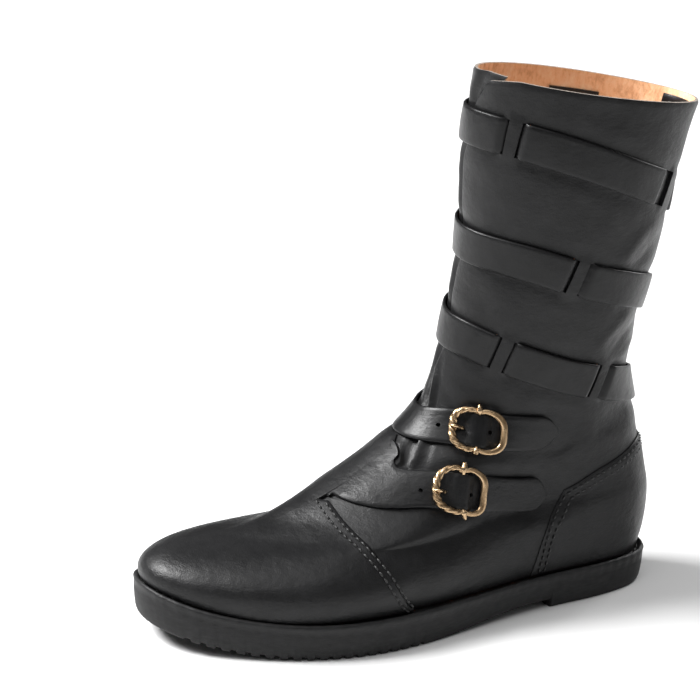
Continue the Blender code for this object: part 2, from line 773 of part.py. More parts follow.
def bridge_places(path):
    """Middle, half length and slot length of every bridge on the strap's way."""
    places = [(path.way_at(angle), BRIDGE_LENGTH / 2, SLOT_LENGTH) for angle in BRIDGE_ANGLES]
    places.append((path.way_at(BACK_BRIDGE_ANGLE), BACK_BRIDGE_LENGTH / 2, BACK_SLOT_LENGTH))
    return places


def hump_offsets():
    return [k * BAR_RAMP / 4 for k in range(-4, 5)]


def wrap_strap(path, skin, surface):
    """The long strap: sinks under each bridge, humps over the bar, ends in a point."""
    bridges = bridge_places(path)
    start_slot = path.way_at(START_SLOT_ANGLE)
    bar = path.way_at(UPPER_BUCKLE_ANGLE)
    dips = [(middle, (-half - slot, -half, half, half + slot)) for middle, half, slot in bridges]
    marks = dips + [(start_slot, (-0.004, 0.004)), (bar, hump_offsets())]
    marks.append((path.length, (-0.0002, -0.003, -0.0065, -TIP_LENGTH)))
    stations = strap_stations(path, marks, 0.0125)
    stations = [s for s in stations if s > start_slot - 0.014]
    inside = -(WALL + STRAP_THICK + 2 * GAP)
    lifts = []
    halves = []
    for way in stations:
        lift = min(strap_lift(abs(way - middle), half, slot) for middle, half, slot in bridges)
        if way < start_slot + 0.004:
            share = min(max((start_slot + 0.004 - way) / 0.008, 0.0), 1.0)
            lift = STRAP_LIFT * (1 - share) + inside * share
        lifts.append(lift + bar_hump(abs(way - bar)))
        halves.append(tip_half_width(path.length - way))
    reach = BRIDGE_LENGTH / 2 + SLOT_LENGTH
    openings = [(middle, half + slot) for middle, half, slot in bridges]
    openings += [(start_slot, reach), (start_slot - reach, reach)]
    lifts = laid(path, stations, halves, lifts, openings, skin)
    points, faces = ribbon(path, stations, halves, STRAP_THICK, lifts)
    new_object("wrap_strap", points, faces, surface)
    return ride_height(stations, lifts, bar)


def bridge_shapes(path):
    """For each bridge, the opening cut in the wall and the arched strip over the strap."""
    holes = []
    strips = []
    half = STRAP_WIDTH / 2 + STRAP_SIDE_GAP
    top = STRAP_LIFT - BRIDGE_SINK + STRAP_THICK + GAP
    across = (-half - 0.0034, -half - 0.0014, -half + 0.0003, -half / 2, 0.0)
    across = across + tuple(-c for c in across[-2::-1])
    arch = (-0.0012, -0.0002, top, top + 0.0005, top + 0.0006)
    arch = arch + arch[-2::-1]
    for middle, reach, slot in bridge_places(path):
        rows = np.linspace(middle - reach - slot, middle + reach + slot, 3 if slot == SLOT_LENGTH else 5)
        low = [[path.place(w, c, -WALL - 0.0015) for c in (-half, 0.0, half)] for w in rows]
        high = [[path.place(w, c, 0.0015) for c in (-half, 0.0, half)] for w in rows]
        holes.append(slab(low, high))
        rows = [middle + k * (reach - 0.0003) for k in (-1.0, 1.0)]
        low = [[path.place(w, c, a) for c, a in zip(across, arch)] for w in rows]
        high = [[path.place(w, c, a + BRIDGE_THICK) for c, a in zip(across, arch)] for w in rows]
        strips.append(slab(low, high))
    middle = path.way_at(START_SLOT_ANGLE)
    rows = [middle - 0.0050, middle, middle + 0.0050]
    low = [[path.place(w, c, -WALL - 0.0015) for c in (-half, 0.0, half)] for w in rows]
    high = [[path.place(w, c, 0.0015) for c in (-half, 0.0, half)] for w in rows]
    holes.append(slab(low, high))
    return holes, strips


def joined(shapes):
    """Several separate shapes as one list of points and faces."""
    points = []
    faces = []
    for more, sides in shapes:
        base = len(points)
        points += [tuple(p) for p in more]
        faces += [tuple(base + v for v in f) for f in sides]
    return points, faces


def vamp(lower_path, skin, surface):
    """Front leather over the foot, cut from a shell, with the lower strap run on."""
    levels = [v for v in UPPER_LEVELS if v < 0.42]
    made = new_object("vamp", *band_solid("vamp", levels, VAMP_THICK), surface)
    far = SOLE_WIDTH
    side = cutter("vamp_side", *side_prism(VAMP_LATERAL, -0.002, far))
    inner = cutter("vamp_inner", *side_prism(VAMP_MEDIAL, -far, 0.0))
    combine(side, inner, "UNION")
    combine(made, side, "INTERSECT")
    bar = lower_path.way_at(LOWER_BUCKLE_ANGLE)
    marks = [(bar, hump_offsets()), (lower_path.length, (-0.0002, -0.003, -0.0065, -TIP_LENGTH))]
    stations = strap_stations(lower_path, marks, 0.0095)
    lifts = [STRAP_LIFT + bar_hump(abs(w - bar)) for w in stations]
    halves = [tip_half_width(lower_path.length - w) for w in stations]
    lifts = laid(lower_path, stations, halves, lifts, [], skin)
    strap = cutter("vamp_strap", *ribbon(lower_path, stations, halves, STRAP_THICK, lifts))
    combine(made, strap, "UNION")
    return ride_height(stations, lifts, bar)


def counter(surface):
    """Heel counter: an overlay round the heel, cut from a shell."""
    levels = [v for v in UPPER_LEVELS if v < 0.42]
    made = new_object("heel_counter", *band_solid("heel_counter", levels, COUNTER_THICK), surface)
    tool = cutter("counter_side", *side_prism(COUNTER_SIDE, -SOLE_WIDTH, SOLE_WIDTH))
    combine(made, tool, "INTERSECT")
    return made


def inner_plate(name, angles, levels, surface):
    """Thin piece of leather on the wall's inner face."""
    face = -WALL - PLATE_GAP
    low = [[wall_offset(a, v, face - LINING_PATCH_THICK) for a in angles] for v in levels]
    high = [[wall_offset(a, v, face) for a in angles] for v in levels]
    return new_object(name, *slab(low, high), surface)


def frame_outline(count):
    """Double loop of a buckle frame: half length and half height by angle, waisted at the bar."""
    outline = []
    for k in range(count):
        turn = 2 * math.pi * k / count
        waist = 1 - FRAME_WAIST * math.exp(-(math.cos(turn) / 0.22) ** 2)
        along = math.copysign(abs(math.cos(turn)) ** 0.80, math.cos(turn))
        across = math.copysign(abs(math.sin(turn)) ** 0.72, math.sin(turn))
        outline.append((along * (BUCKLE_LENGTH - BUCKLE_WIRE) / 2, across * waist * (BUCKLE_HEIGHT - BUCKLE_WIRE) / 2))
    return outline


def buckle(name, path, angle, ride, surface):
    """Frame with its centre bar: the rims lie over the strap, the bar under it."""
    middle = path.way_at(angle)
    rim_lift = ride + STRAP_THICK + 2 * GAP + BUCKLE_WIRE / 2
    centres = []
    normals = []
    for along, across in frame_outline(FRAME_POINTS):
        lift = rim_lift + 0.0004
        centres.append(path.place(middle + along, across, lift))
        normals.append(path.place(middle + along, across, lift + 0.001) - centres[-1])
    points, faces = tube(centres, [BUCKLE_WIRE / 2] * len(centres), 6, True, normals)
    made = new_object(name, points, faces, surface)
    bar_lift = GAP + BAR_WIRE / 2
    half = (BUCKLE_HEIGHT - BUCKLE_WIRE) / 2 * (1 - FRAME_WAIST) + 0.0001
    edge = STRAP_WIDTH / 2 + GAP
    spots = ((-half - 0.0004, rim_lift + 0.0002), (-edge - 0.0004, bar_lift + 0.0002), (-edge * 0.6, bar_lift), (0.0, bar_lift),
             (edge * 0.6, bar_lift), (edge + 0.0004, bar_lift + 0.0002), (half + 0.0004, rim_lift + 0.0002))
    line = [path.place(middle, c, h) for c, h in spots]
    ups = [path.place(middle, c, h + 0.001) - p for (c, h), p in zip(spots, line)]
    bar = cutter(name + "_bar", *tube(line, [BAR_WIRE / 2] * len(line), 6, False, ups))
    combine(made, bar, "UNION", "MANIFOLD")
    return made


def prong(name, path, angle, ride, surface):
    """Prong: out of the strap's hole and onto the front rim."""
    middle = path.way_at(angle)
    top = ride + STRAP_THICK + GAP + PRONG_WIRE / 2 + 0.0004
    rim = ride + STRAP_THICK + BUCKLE_WIRE + 2 * GAP + PRONG_WIRE / 2 + 0.0004
    reach = BUCKLE_LENGTH / 2
    spots = ((-reach + 0.0080, top, 0.9), (-reach + 0.0060, top + 0.0012, 1.0), (-reach + 0.0036, rim - 0.0002, 1.0),
             (-reach + 0.0015, rim + 0.0002, 0.95), (-reach - 0.0004, rim - 0.0002, 0.7))
    line = [path.place(middle + a, 0.0, h) for a, h, _ in spots]
    ups = [path.place(middle + a, 0.0, h + 0.001) - p for (a, h, _), p in zip(spots, line)]
    radii = [PRONG_WIRE / 2 * r for _, _, r in spots]
    return new_object(name, *tube(line, radii, 6, False, ups), surface)


def build():
    for old in list(bpy.data.objects):
        bpy.data.objects.remove(old, do_unlink=True)
    leather = material("black_leather", (0.018, 0.018, 0.019), 0.42, 0.0)
    strap_leather = material("black_strap_leather", (0.015, 0.015, 0.016), 0.34, 0.0)
    rubber = material("black_rubber", (0.026, 0.026, 0.027), 0.72, 0.0)
    edge_rubber = material("black_edge", (0.036, 0.036, 0.038), 0.60, 0.0)
    tan = material("tan_leather", (0.62, 0.36, 0.21), 0.85, 0.0)
    brass = material("antique_brass", (0.42, 0.27, 0.13), 0.38, 1.0)

    outsole(rubber)
    midsole(edge_rubber)
    insole(tan)
    wrap_path = Path(WRAP, WRAP_START, WRAP_END)
    lower_path = Path(LOWER_STRAP, LOWER_START, LOWER_END)
    boot = upper(leather)
    skin = wall_skin(boot)
    holes, strips = bridge_shapes(wrap_path)
    combine(boot, cutter("wall_openings", *joined(holes)), "DIFFERENCE")
    combine(boot, cutter("wall_bridges", *joined(strips)), "UNION")
    lower_ride = vamp(lower_path, skin, leather)
    counter(leather)
    wrap_ride = wrap_strap(wrap_path, skin, strap_leather)
    inner_plate("collar_patch", (272, 281, 290, 299), (0.925, 0.955, 0.985), strap_leather)
    inner_plate("back_stay", (-13, -4, 4, 13), (0.60, 0.70, 0.80, 0.90, 0.99), strap_leather)
    fastened = (
        ("upper", wrap_path, UPPER_BUCKLE_ANGLE, wrap_ride),
        ("lower", lower_path, LOWER_BUCKLE_ANGLE, lower_ride),
    )
    for name, path, angle, ride in fastened:
        buckle("buckle_" + name, path, angle, ride, brass)
        prong("prong_" + name, path, angle, ride, brass)


build()
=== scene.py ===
"""Looks of the mid-calf boot: leather, straps, buckles, sole and stitching.

Metres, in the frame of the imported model: +Z up, toe towards -Y, lateral side
towards +X. Angles go round the wall in degrees: 0 back, 90 lateral, 180 front,
270 medial. Levels go up the wall: 0 at the sole, 1 at the collar.
"""
import math

import bpy
import numpy as np
from mathutils import Matrix, Vector
from mathutils.kdtree import KDTree


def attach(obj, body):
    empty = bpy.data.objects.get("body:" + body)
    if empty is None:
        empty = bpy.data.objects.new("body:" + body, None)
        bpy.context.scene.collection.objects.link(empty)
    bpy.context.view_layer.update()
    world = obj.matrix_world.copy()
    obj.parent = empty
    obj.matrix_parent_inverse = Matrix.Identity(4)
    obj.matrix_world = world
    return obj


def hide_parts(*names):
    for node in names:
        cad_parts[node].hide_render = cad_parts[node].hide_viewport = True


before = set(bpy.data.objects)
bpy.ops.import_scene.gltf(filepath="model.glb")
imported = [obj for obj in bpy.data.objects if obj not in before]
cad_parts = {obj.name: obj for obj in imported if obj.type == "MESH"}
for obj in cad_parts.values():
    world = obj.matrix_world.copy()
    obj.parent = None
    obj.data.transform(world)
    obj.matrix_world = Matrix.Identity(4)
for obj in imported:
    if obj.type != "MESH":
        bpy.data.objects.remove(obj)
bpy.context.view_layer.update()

# Sizes shared with the solids
SOLE_LENGTH = 0.302
SOLE_WIDTH = 0.106
BOOT_HEIGHT = 0.301
HEEL_LENGTH = 0.075
HEEL_STEP = 0.0046
OUTSOLE_THICK = 0.0140
MIDSOLE_THICK = 0.0052
TOE_SPRING = 0.0130
TREAD_PITCH = 0.0068
WALL = 0.0020
FEATHER_INSET = 0.0055
STRAP_WIDTH = 0.0196
STRAP_THICK = 0.0019
VAMP_THICK = 0.0017
COUNTER_THICK = 0.0013
BRIDGE_HALF = 0.0033
SLOT_LENGTH = 0.0037
GAP = 0.0003
HEEL_BACK_Y = HEEL_LENGTH / 2
SPRING_START = 0.62
SPRING_POWER = 3.4
SOLE_TOP = OUTSOLE_THICK + GAP + MIDSOLE_THICK
OUTLINE = (
    (0.010, 0.134, 0.130), (0.040, 0.234, 0.229), (0.100, 0.300, 0.301), (0.170, 0.336, 0.332),
    (0.250, 0.360, 0.326), (0.360, 0.420, 0.302), (0.480, 0.500, 0.318), (0.600, 0.560, 0.386),
    (0.700, 0.550, 0.444), (0.800, 0.470, 0.462), (0.880, 0.356, 0.430), (0.940, 0.244, 0.368),
    (0.985, 0.092, 0.236),
)
TIP_X = -0.066
RING_ANGLES = (30, 60, 90, 120, 150)
FOOT = (
    (0.006, 0.113, -0.061, 0.987, 0.130, 0.85,
     0.236, 0.325, 0.472, 0.486, 0.236, 0.250, 0.297, 0.292, 0.396, 0.325),
    (0.004, 0.163, -0.066, 0.950, 0.154, 0.35,
     0.245, 0.330, 0.425, 0.406, 0.151, 0.255, 0.302, 0.292, 0.325, 0.250),
    (0.012, 0.213, -0.061, 0.820, 0.171, 0.00,
     0.236, 0.302, 0.363, 0.396, 0.104, 0.245, 0.278, 0.288, 0.274, 0.165),
    (0.022, 0.259, -0.042, 0.672, 0.223, 0.00,
     0.208, 0.292, 0.325, 0.349, 0.170, 0.212, 0.283, 0.297, 0.283, 0.203),
    (0.032, 0.306, -0.024, 0.556, 0.292, 0.00,
     0.179, 0.283, 0.316, 0.316, 0.198, 0.179, 0.278, 0.307, 0.302, 0.198),
)
SHAFT = (
    (0.044, 0.359, 0.474, 0.372, 0.005, 0.328),
    (0.070, 0.445, 0.435, 0.498, 0.028, 0.354),
    (0.053, 0.598, 0.419, 0.664, 0.075, 0.382),
    (0.019, 0.807, 0.432, 0.870, 0.132, 0.382),
    (-0.003, 0.930, 0.424, 1.000, 0.165, 0.368),
)
THROAT_LEVEL = 0.335
FLAP_EDGE = (
    (0.0, 150.0), (0.335, 150.0), (0.36, 154.0), (0.405, 164.0), (0.445, 175.0), (0.49, 184.0),
    (0.60, 187.0), (0.85, 187.0), (0.96, 182.0), (1.0, 173.0),
)
DIP_START_DEG = 14.0
FLAP_OVERLAP_DEG = 16.0
WRAP = (
    (318.0, 0.905), (270.0, 0.912), (225.0, 0.912), (195.0, 0.910), (145.0, 0.908), (119.0, 0.900),
    (97.0, 0.887), (73.0, 0.868), (44.0, 0.848), (0.0, 0.822), (-60.0, 0.775), (-110.0, 0.735),
    (-159.0, 0.710), (-192.0, 0.704), (-238.0, 0.699), (-261.0, 0.689), (-289.0, 0.679),
    (-320.0, 0.668), (-360.0, 0.650), (-420.0, 0.612), (-470.0, 0.580), (-515.0, 0.560),
    (-533.0, 0.554), (-562.0, 0.549), (-588.0, 0.538), (-612.0, 0.525), (-631.0, 0.512),
    (-653.0, 0.499), (-702.0, 0.467), (-740.0, 0.447), (-780.0, 0.428), (-830.0, 0.412),
    (-875.0, 0.408), (-917.0, 0.412), (-932.0, 0.415), (-950.0, 0.412), (-970.0, 0.405),
    (-994.0, 0.397),
)
BRIDGE_ANGLES = (226.0, 145.0, -133.0, -261.0, -431.0, -588.0, -653.0, -838.0)
BACK_BRIDGE_ANGLE = 37.0
BACK_BRIDGE_HALF = 0.0056
BACK_SLOT_LENGTH = 0.0120
START_SLOT_ANGLE = 305.0
UPPER_BUCKLE_ANGLE = -950.0
LOWER_STRAP = ((146.0, 0.303), (134.0, 0.303), (115.0, 0.290), (93.0, 0.252), (71.0, 0.205))
LOWER_BUCKLE_ANGLE = 115.0
BUCKLE_LENGTH = 0.0292
BUCKLE_HEIGHT = 0.0264
BUCKLE_WIRE = 0.0030
BAR_WIRE = 0.0022
STRAP_LIFT = 0.0006


def spline(knots, values, at):
    """Natural cubic spline through rows of values, read at many places."""
    knots = np.asarray(knots, float)
    values = np.asarray(values, float)
    if values.ndim == 1:
        return spline(knots, values[:, None], at)[:, 0]
    count = len(knots)
    step = np.diff(knots)
    slope = np.diff(values, axis=0) / step[:, None]
    system = np.eye(count)
    right = np.zeros_like(values)
    for i in range(1, count - 1):
        system[i, i - 1:i + 2] = (step[i - 1], 2 * (step[i - 1] + step[i]), step[i])
        right[i] = 6 * (slope[i] - slope[i - 1])
    bend = np.linalg.solve(system, right)
    at = np.atleast_1d(np.asarray(at, float))
    i = np.clip(np.searchsorted(knots, at) - 1, 0, count - 2)
    t = (at - knots[i])[:, None]
    h = step[i][:, None]
    cubic = (bend[i + 1] - bend[i]) / (6 * h) * t ** 3 + bend[i] / 2 * t ** 2
    return cubic + (slope[i] - h * (2 * bend[i] + bend[i + 1]) / 6) * t + values[i]


def smooth(x):
    """Soft step from 0 to 1."""
    x = np.clip(x, 0.0, 1.0)
    return x * x * (3 - 2 * x)


def toe_rise(share):
    past = np.clip((np.asarray(share, float) - SPRING_START) / (1 - SPRING_START), 0, None)
    return past ** SPRING_POWER


def sole_half_width(share, side):
    angles = [0.0] + [math.acos(1 - 2 * row[0]) for row in OUTLINE] + [math.pi]
    column = 1 if side > 0 else 2
    edge = [0.0] + [side * row[column] for row in OUTLINE] + [TIP_X]
    angle = np.arccos(np.clip(1 - 2 * np.asarray(share, float), -1, 1))
    return spline(angles, edge, angle) * SOLE_WIDTH


def feather_row():
    back = FEATHER_INSET * 0.8 / SOLE_LENGTH
    front = 1 - FEATHER_INSET / SOLE_LENGTH
    height = (SOLE_TOP + GAP) / BOOT_HEIGHT
    rise = TOE_SPRING * float(toe_rise(front)) / BOOT_HEIGHT
    shares = [back + (front - back) * (1 - math.cos(math.radians(a))) / 2 for a in RING_ANGLES]
    ends = []
    for side in (1, -1):
        for share in shares:
            near = [side * sole_half_width(share + d, side)[0] for d in (-0.01, 0.0, 0.01)]
            slope = (near[2] - near[0]) / (0.02 * SOLE_LENGTH)
            ends.append((near[1] - FEATHER_INSET * math.hypot(1.0, slope)) / SOLE_WIDTH)
    return [back, height, TIP_X, front, height + rise, 1.0] + ends


def ring_rows():
    rows = []
    for row in [feather_row()] + [list(r) for r in FOOT]:
        back, back_z, front_x, front, front_z, follow = row[:6]
        rows.append([0.0, back, back_z, front_x, front, front_z, follow] + row[6:11] + [-w for w in row[11:16]])
    for back, back_z, front, front_z, centre, half in SHAFT:
        swell = [half * math.sin(math.radians(a)) for a in RING_ANGLES]
        rows.append([centre, back, back_z, centre, front, front_z, 0.0]
                    + [centre + w for w in swell] + [centre - w for w in swell])
    return np.array(rows)


def row_levels(rows):
    size = np.array([SOLE_LENGTH, BOOT_HEIGHT])
    back = np.linalg.norm(np.diff(rows[:, 1:3] * size, axis=0), axis=1)
    front = np.linalg.norm(np.diff(rows[:, 4:6] * size, axis=0), axis=1)
    way = np.concatenate(([0.0], np.cumsum(back + front)))
    return way / way[-1]


RINGS = ring_rows()
RING_LEVELS = row_levels(RINGS)
RING_NODES = np.radians((0,) + RING_ANGLES + (180,))


def wall(angle, level):
    """Points of the wall's outer face."""
    angle, level = np.broadcast_arrays(np.asarray(angle, float), np.asarray(level, float))
    shape = angle.shape
    angle = angle.ravel()
    ring = spline(RING_LEVELS, RINGS, level.ravel())
    turned = np.radians(angle % 360.0)
    lateral = turned <= math.pi
    place = np.where(lateral, turned, 2 * math.pi - turned)
    inner = np.where(lateral[:, None], ring[:, 7:12], ring[:, 12:17])
    nodes = np.column_stack((ring[:, 0], inner, ring[:, 3]))
    x = (spline(RING_NODES, np.eye(7), place) * nodes).sum(axis=1)
    along = (1 - np.cos(place)) / 2
    share = ring[:, 1] + (ring[:, 4] - ring[:, 1]) * along
    end_rise = np.maximum(toe_rise(ring[:, 4]), 1e-6)
    spring = np.minimum(toe_rise(share) / end_rise, 1.0)
    height = ring[:, 2] + (ring[:, 5] - ring[:, 2]) * ((1 - ring[:, 6]) * along + ring[:, 6] * spring)
    points = np.stack((x * SOLE_WIDTH, HEEL_BACK_Y - share * SOLE_LENGTH, height * BOOT_HEIGHT), axis=1)
    return points.reshape(shape + (3,))


def wall_frame(angle, level):
    """Points, outward normals and the two slopes of the wall."""
    da = 1.0
    dl = 0.004
    level = np.asarray(level, float)
    low = np.maximum(level - dl, 0.0)
    high = np.minimum(level + dl, 1.0)
    round_slope = (wall(angle + da, level) - wall(angle - da, level)) / (2 * da)
    up_slope = (wall(angle, high) - wall(angle, low)) / (high - low)[..., None]
    normal = -np.cross(round_slope, up_slope)
    normal /= np.linalg.norm(normal, axis=-1, keepdims=True)
    return wall(angle, level), normal, round_slope, up_slope


def lifted(angle, level, lift):
    """Points at a height above the wall's outer face, kept clear of the sole."""
    angle, level, lift = np.broadcast_arrays(np.asarray(angle, float), np.asarray(level, float), np.asarray(lift, float))
    point, normal, _, _ = wall_frame(angle, level)
    point = point + normal * lift[..., None]
    share = (HEEL_BACK_Y - point[..., 1]) / SOLE_LENGTH
    floor = SOLE_TOP + GAP + TOE_SPRING * toe_rise(share)
    point[..., 2] = np.maximum(point[..., 2], floor)
    return point


class Path:
    """A line on the wall, read by its length in metres."""

    def __init__(self, table, start, end):
        turned = np.array([row[0] for row in table])
        self.level = np.array([row[1] for row in table])
        self.sign = -1 if turned[0] > turned[-1] else 1
        self.knots = self.sign * turned
        self.angles = np.linspace(start, end, 3000)
        points = wall(self.angles, self.level_at(self.angles))
        steps = np.linalg.norm(np.diff(points, axis=0), axis=1)
        self.way = np.concatenate(([0.0], np.cumsum(steps)))
        self.length = self.way[-1]

    def level_at(self, angle):
        return spline(self.knots, self.level, self.sign * np.atleast_1d(angle))

    def way_at(self, angle):
        order = np.argsort(self.angles)
        return float(np.interp(angle, self.angles[order], self.way[order]))

    def spot(self, way, across):
        """Angle and level of a place beside the line."""
        way, across = np.broadcast_arrays(np.asarray(way, float), np.asarray(across, float))
        shape = way.shape
        way = way.ravel()
        rate = (self.angles[-1] - self.angles[0]) / self.length
        angle = np.interp(way, self.way, self.angles)
        angle = np.where(way < 0, self.angles[0] + way * rate, angle)
        angle = np.where(way > self.length, self.angles[-1] + (way - self.length) * rate, angle)
        level = self.level_at(angle)
        _, normal, round_slope, up_slope = wall_frame(angle, level)
        tangent = wall(angle + 0.5, self.level_at(angle + 0.5)) - wall(angle - 0.5, self.level_at(angle - 0.5))
        side = np.cross(tangent, normal)
        side /= np.linalg.norm(side, axis=1, keepdims=True)
        side *= np.where(side[:, 2:] < 0, -1.0, 1.0)
        aim = side * across.ravel()[:, None]
        aa = (round_slope ** 2).sum(1)
        bb = (up_slope ** 2).sum(1)
        ab = (round_slope * up_slope).sum(1)
        ra = (round_slope * aim).sum(1)
        rb = (up_slope * aim).sum(1)
        det = aa * bb - ab * ab
        moved = angle + (ra * bb - rb * ab) / det
        raised = level + (rb * aa - ra * ab) / det
        return moved.reshape(shape), raised.reshape(shape)

    def place(self, way, across, lift):
        angle, level = self.spot(way, across)
        return lifted(angle, level, np.broadcast_to(lift, angle.shape))


WRAP_PATH = Path(WRAP, 318.0, -994.0)
LOWER_PATH = Path(LOWER_STRAP, 140.0, 71.0)
ROOT_STRAP = ((178.0, 0.3225), (172.0, 0.3225), (164.0, 0.3160), (155.0, 0.3080)) + LOWER_STRAP
ROOT_PATH = Path(ROOT_STRAP, 178.0, 71.0)


# Materials


class Shader:
    """Small helper that builds one node material."""

    def __init__(self, name):
        self.material = bpy.data.materials.new(name)
        self.material.use_nodes = True
        self.tree = self.material.node_tree
        self.bsdf = self.tree.nodes["Principled BSDF"]
        coords = self.tree.nodes.new("ShaderNodeTexCoord")
        self.coords = coords.outputs["Object"]

    def link(self, source, target):
        self.tree.links.new(source, target)

    def stretch(self, scale, turn=(0.0, 0.0, 0.0)):
        node = self.tree.nodes.new("ShaderNodeMapping")
        node.inputs["Scale"].default_value = scale
        node.inputs["Rotation"].default_value = turn
        self.link(self.coords, node.inputs["Vector"])
        return node.outputs["Vector"]

    def noise(self, scale, detail=3.0, rough=0.5, vector=None):
        node = self.tree.nodes.new("ShaderNodeTexNoise")
        node.inputs["Scale"].default_value = scale
        node.inputs["Detail"].default_value = detail
        node.inputs["Roughness"].default_value = rough
        self.link(vector or self.coords, node.inputs["Vector"])
        return node.outputs["Fac"]

    def cells(self, scale, feature="F1", vector=None):
        node = self.tree.nodes.new("ShaderNodeTexVoronoi")
        node.feature = feature
        node.inputs["Scale"].default_value = scale
        self.link(vector or self.coords, node.inputs["Vector"])
        return node.outputs["Distance"]

    def spread(self, value, low, high, to_low=0.0, to_high=1.0):
        node = self.tree.nodes.new("ShaderNodeMapRange")
        node.inputs["From Min"].default_value = low
        node.inputs["From Max"].default_value = high
        node.inputs["To Min"].default_value = to_low
        node.inputs["To Max"].default_value = to_high
        self.link(value, node.inputs["Value"])
        return node.outputs["Result"]

    def math(self, operation, a, b):
        node = self.tree.nodes.new("ShaderNodeMath")
        node.operation = operation
        for socket, value in zip(node.inputs, (a, b)):
            if isinstance(value, (int, float)):
                socket.default_value = value
            else:
                self.link(value, socket)
        return node.outputs["Value"]

    def ramp(self, value, stops):
        node = self.tree.nodes.new("ShaderNodeValToRGB")
        ramp = node.color_ramp
        while len(ramp.elements) < len(stops):
            ramp.elements.new(0.5)
        for element, (place, colour) in zip(ramp.elements, stops):
            element.position = place
            element.color = (*colour, 1.0)
        self.link(value, node.inputs["Fac"])
        return node.outputs["Color"]

    def bump(self, height, distance, strength=1.0, under=None):
        node = self.tree.nodes.new("ShaderNodeBump")
        node.inputs["Strength"].default_value = strength
        node.inputs["Distance"].default_value = distance
        self.link(height, node.inputs["Height"])
        if under is not None:
            self.link(under, node.inputs["Normal"])
        return node.outputs["Normal"]

    def set(self, **values):
        names = {"colour": "Base Color", "rough": "Roughness", "metal": "Metallic", "normal": "Normal",
                 "coat": "Coat Weight", "coat_rough": "Coat Roughness", "specular": "Specular IOR Level",
                 "sheen": "Sheen Weight", "sheen_rough": "Sheen Roughness"}
        for key, value in values.items():
            socket = self.bsdf.inputs[names[key]]
            if isinstance(value, (int, float)):
                socket.default_value = value
            elif isinstance(value, tuple):
                socket.default_value = (*value, 1.0)
            else:
                self.link(value, socket)


def black_leather(name, low, high, rough_low, rough_high, coat, grain, creases):
    """Smooth dyed leather: uneven black, soft dents, fine wrinkles and grain."""
    s = Shader(name)
    broad = s.noise(28.0, 4.0, 0.55)
    patchy = s.noise(140.0, 3.0, 0.6)
    mixed = s.math("ADD", s.math("MULTIPLY", broad, 0.65), s.math("MULTIPLY", patchy, 0.35))
    colour = s.ramp(s.spread(mixed, 0.35, 0.66), ((0.0, low), (1.0, high)))
    rough = s.spread(s.math("ADD", s.math("MULTIPLY", s.noise(60.0, 4.0, 0.6), 0.7),
                            s.math("MULTIPLY", s.noise(900.0, 2.0, 0.5), 0.3)), 0.32, 0.68, rough_low, rough_high)
    soft = s.bump(s.noise(55.0, 3.0, 0.5), 0.0015, 0.60)
    fine = s.bump(s.noise(210.0, 4.0, 0.6, s.stretch((1.0, 1.0, 2.2), (0.25, 0.1, 0.0))), 0.00038 * creases, 0.8, soft)
    pores = s.bump(s.cells(1500.0), 0.00009 * grain, 0.7, fine)
    s.set(colour=colour, rough=rough, normal=pores, coat=coat, coat_rough=0.28, specular=0.23)
    return s.material


def flesh_leather():
    """Undyed inner side: tan, mottled and fibrous."""
    s = Shader("natural_flesh_side")
    fibres = s.noise(420.0, 5.0, 0.7, s.stretch((1.0, 1.0, 0.45), (0.5, 0.3, 0.2)))
    cloud = s.noise(70.0, 4.0, 0.6)
    mixed = s.math("ADD", s.math("MULTIPLY", fibres, 0.5), s.math("MULTIPLY", cloud, 0.5))
    colour = s.ramp(s.spread(mixed, 0.34, 0.66), (
        (0.0, (0.58, 0.29, 0.15)), (0.45, (0.88, 0.54, 0.32)), (1.0, (0.95, 0.70, 0.50))))
    normal = s.bump(fibres, 0.0006, 0.9)
    s.set(colour=colour, rough=0.9, normal=normal, specular=0.25)
    return s.material


def raw_edge():
    """Cut edge of the leather."""
    s = Shader("raw_cut_edge")
    colour = s.ramp(s.noise(900.0, 3.0, 0.6), ((0.3, (0.10, 0.085, 0.075)), (0.75, (0.42, 0.37, 0.32))))
    s.set(colour=colour, rough=0.8, specular=0.3)
    return s.material


def sole_rubber(name, low, high, rough):
    """Matt black sole edge, worn grey in streaks along it."""
    s = Shader(name)
    streaks = s.noise(160.0, 4.0, 0.6, s.stretch((1.0, 1.0, 3.2)))
    wear = s.noise(38.0, 4.0, 0.65)
    mixed = s.math("ADD", s.math("MULTIPLY", streaks, 0.45), s.math("MULTIPLY", wear, 0.55))
    colour = s.ramp(s.spread(mixed, 0.36, 0.66), ((0.0, low), (0.6, tuple((a + b) / 2 for a, b in zip(low, high))), (1.0, high)))
    rough_map = s.spread(wear, 0.3, 0.7, rough - 0.1, rough + 0.1)
    lines = s.bump(s.noise(500.0, 3.0, 0.6, s.stretch((0.5, 0.5, 3.0))), 0.00018, 0.8)
    pits = s.bump(s.noise(1300.0, 2.0, 0.6), 0.00012, 0.6, lines)
    s.set(colour=colour, rough=rough_map, normal=pits, specular=0.28)
    return s.material


def antique_brass():
    """Brass darkened in its hollows and rubbed bright on its ridges."""
    s = Shader("antique_brass")
    geometry = s.tree.nodes.new("ShaderNodeNewGeometry")
    patina = s.noise(420.0, 4.0, 0.6)
    edge = s.spread(geometry.outputs["Pointiness"], 0.42, 0.58)
    worn = s.math("ADD", s.math("MULTIPLY", edge, 0.75), s.math("MULTIPLY", patina, 0.35))
    colour = s.ramp(worn, ((0.15, (0.035, 0.022, 0.012)), (0.50, (0.22, 0.135, 0.068)), (0.90, (0.60, 0.43, 0.26))))
    rough = s.spread(worn, 0.2, 0.8, 0.52, 0.26)
    normal = s.bump(s.noise(1600.0, 3.0, 0.6), 0.00012, 0.7)
    s.set(colour=colour, rough=rough, metal=1.0, normal=normal)
    return s.material


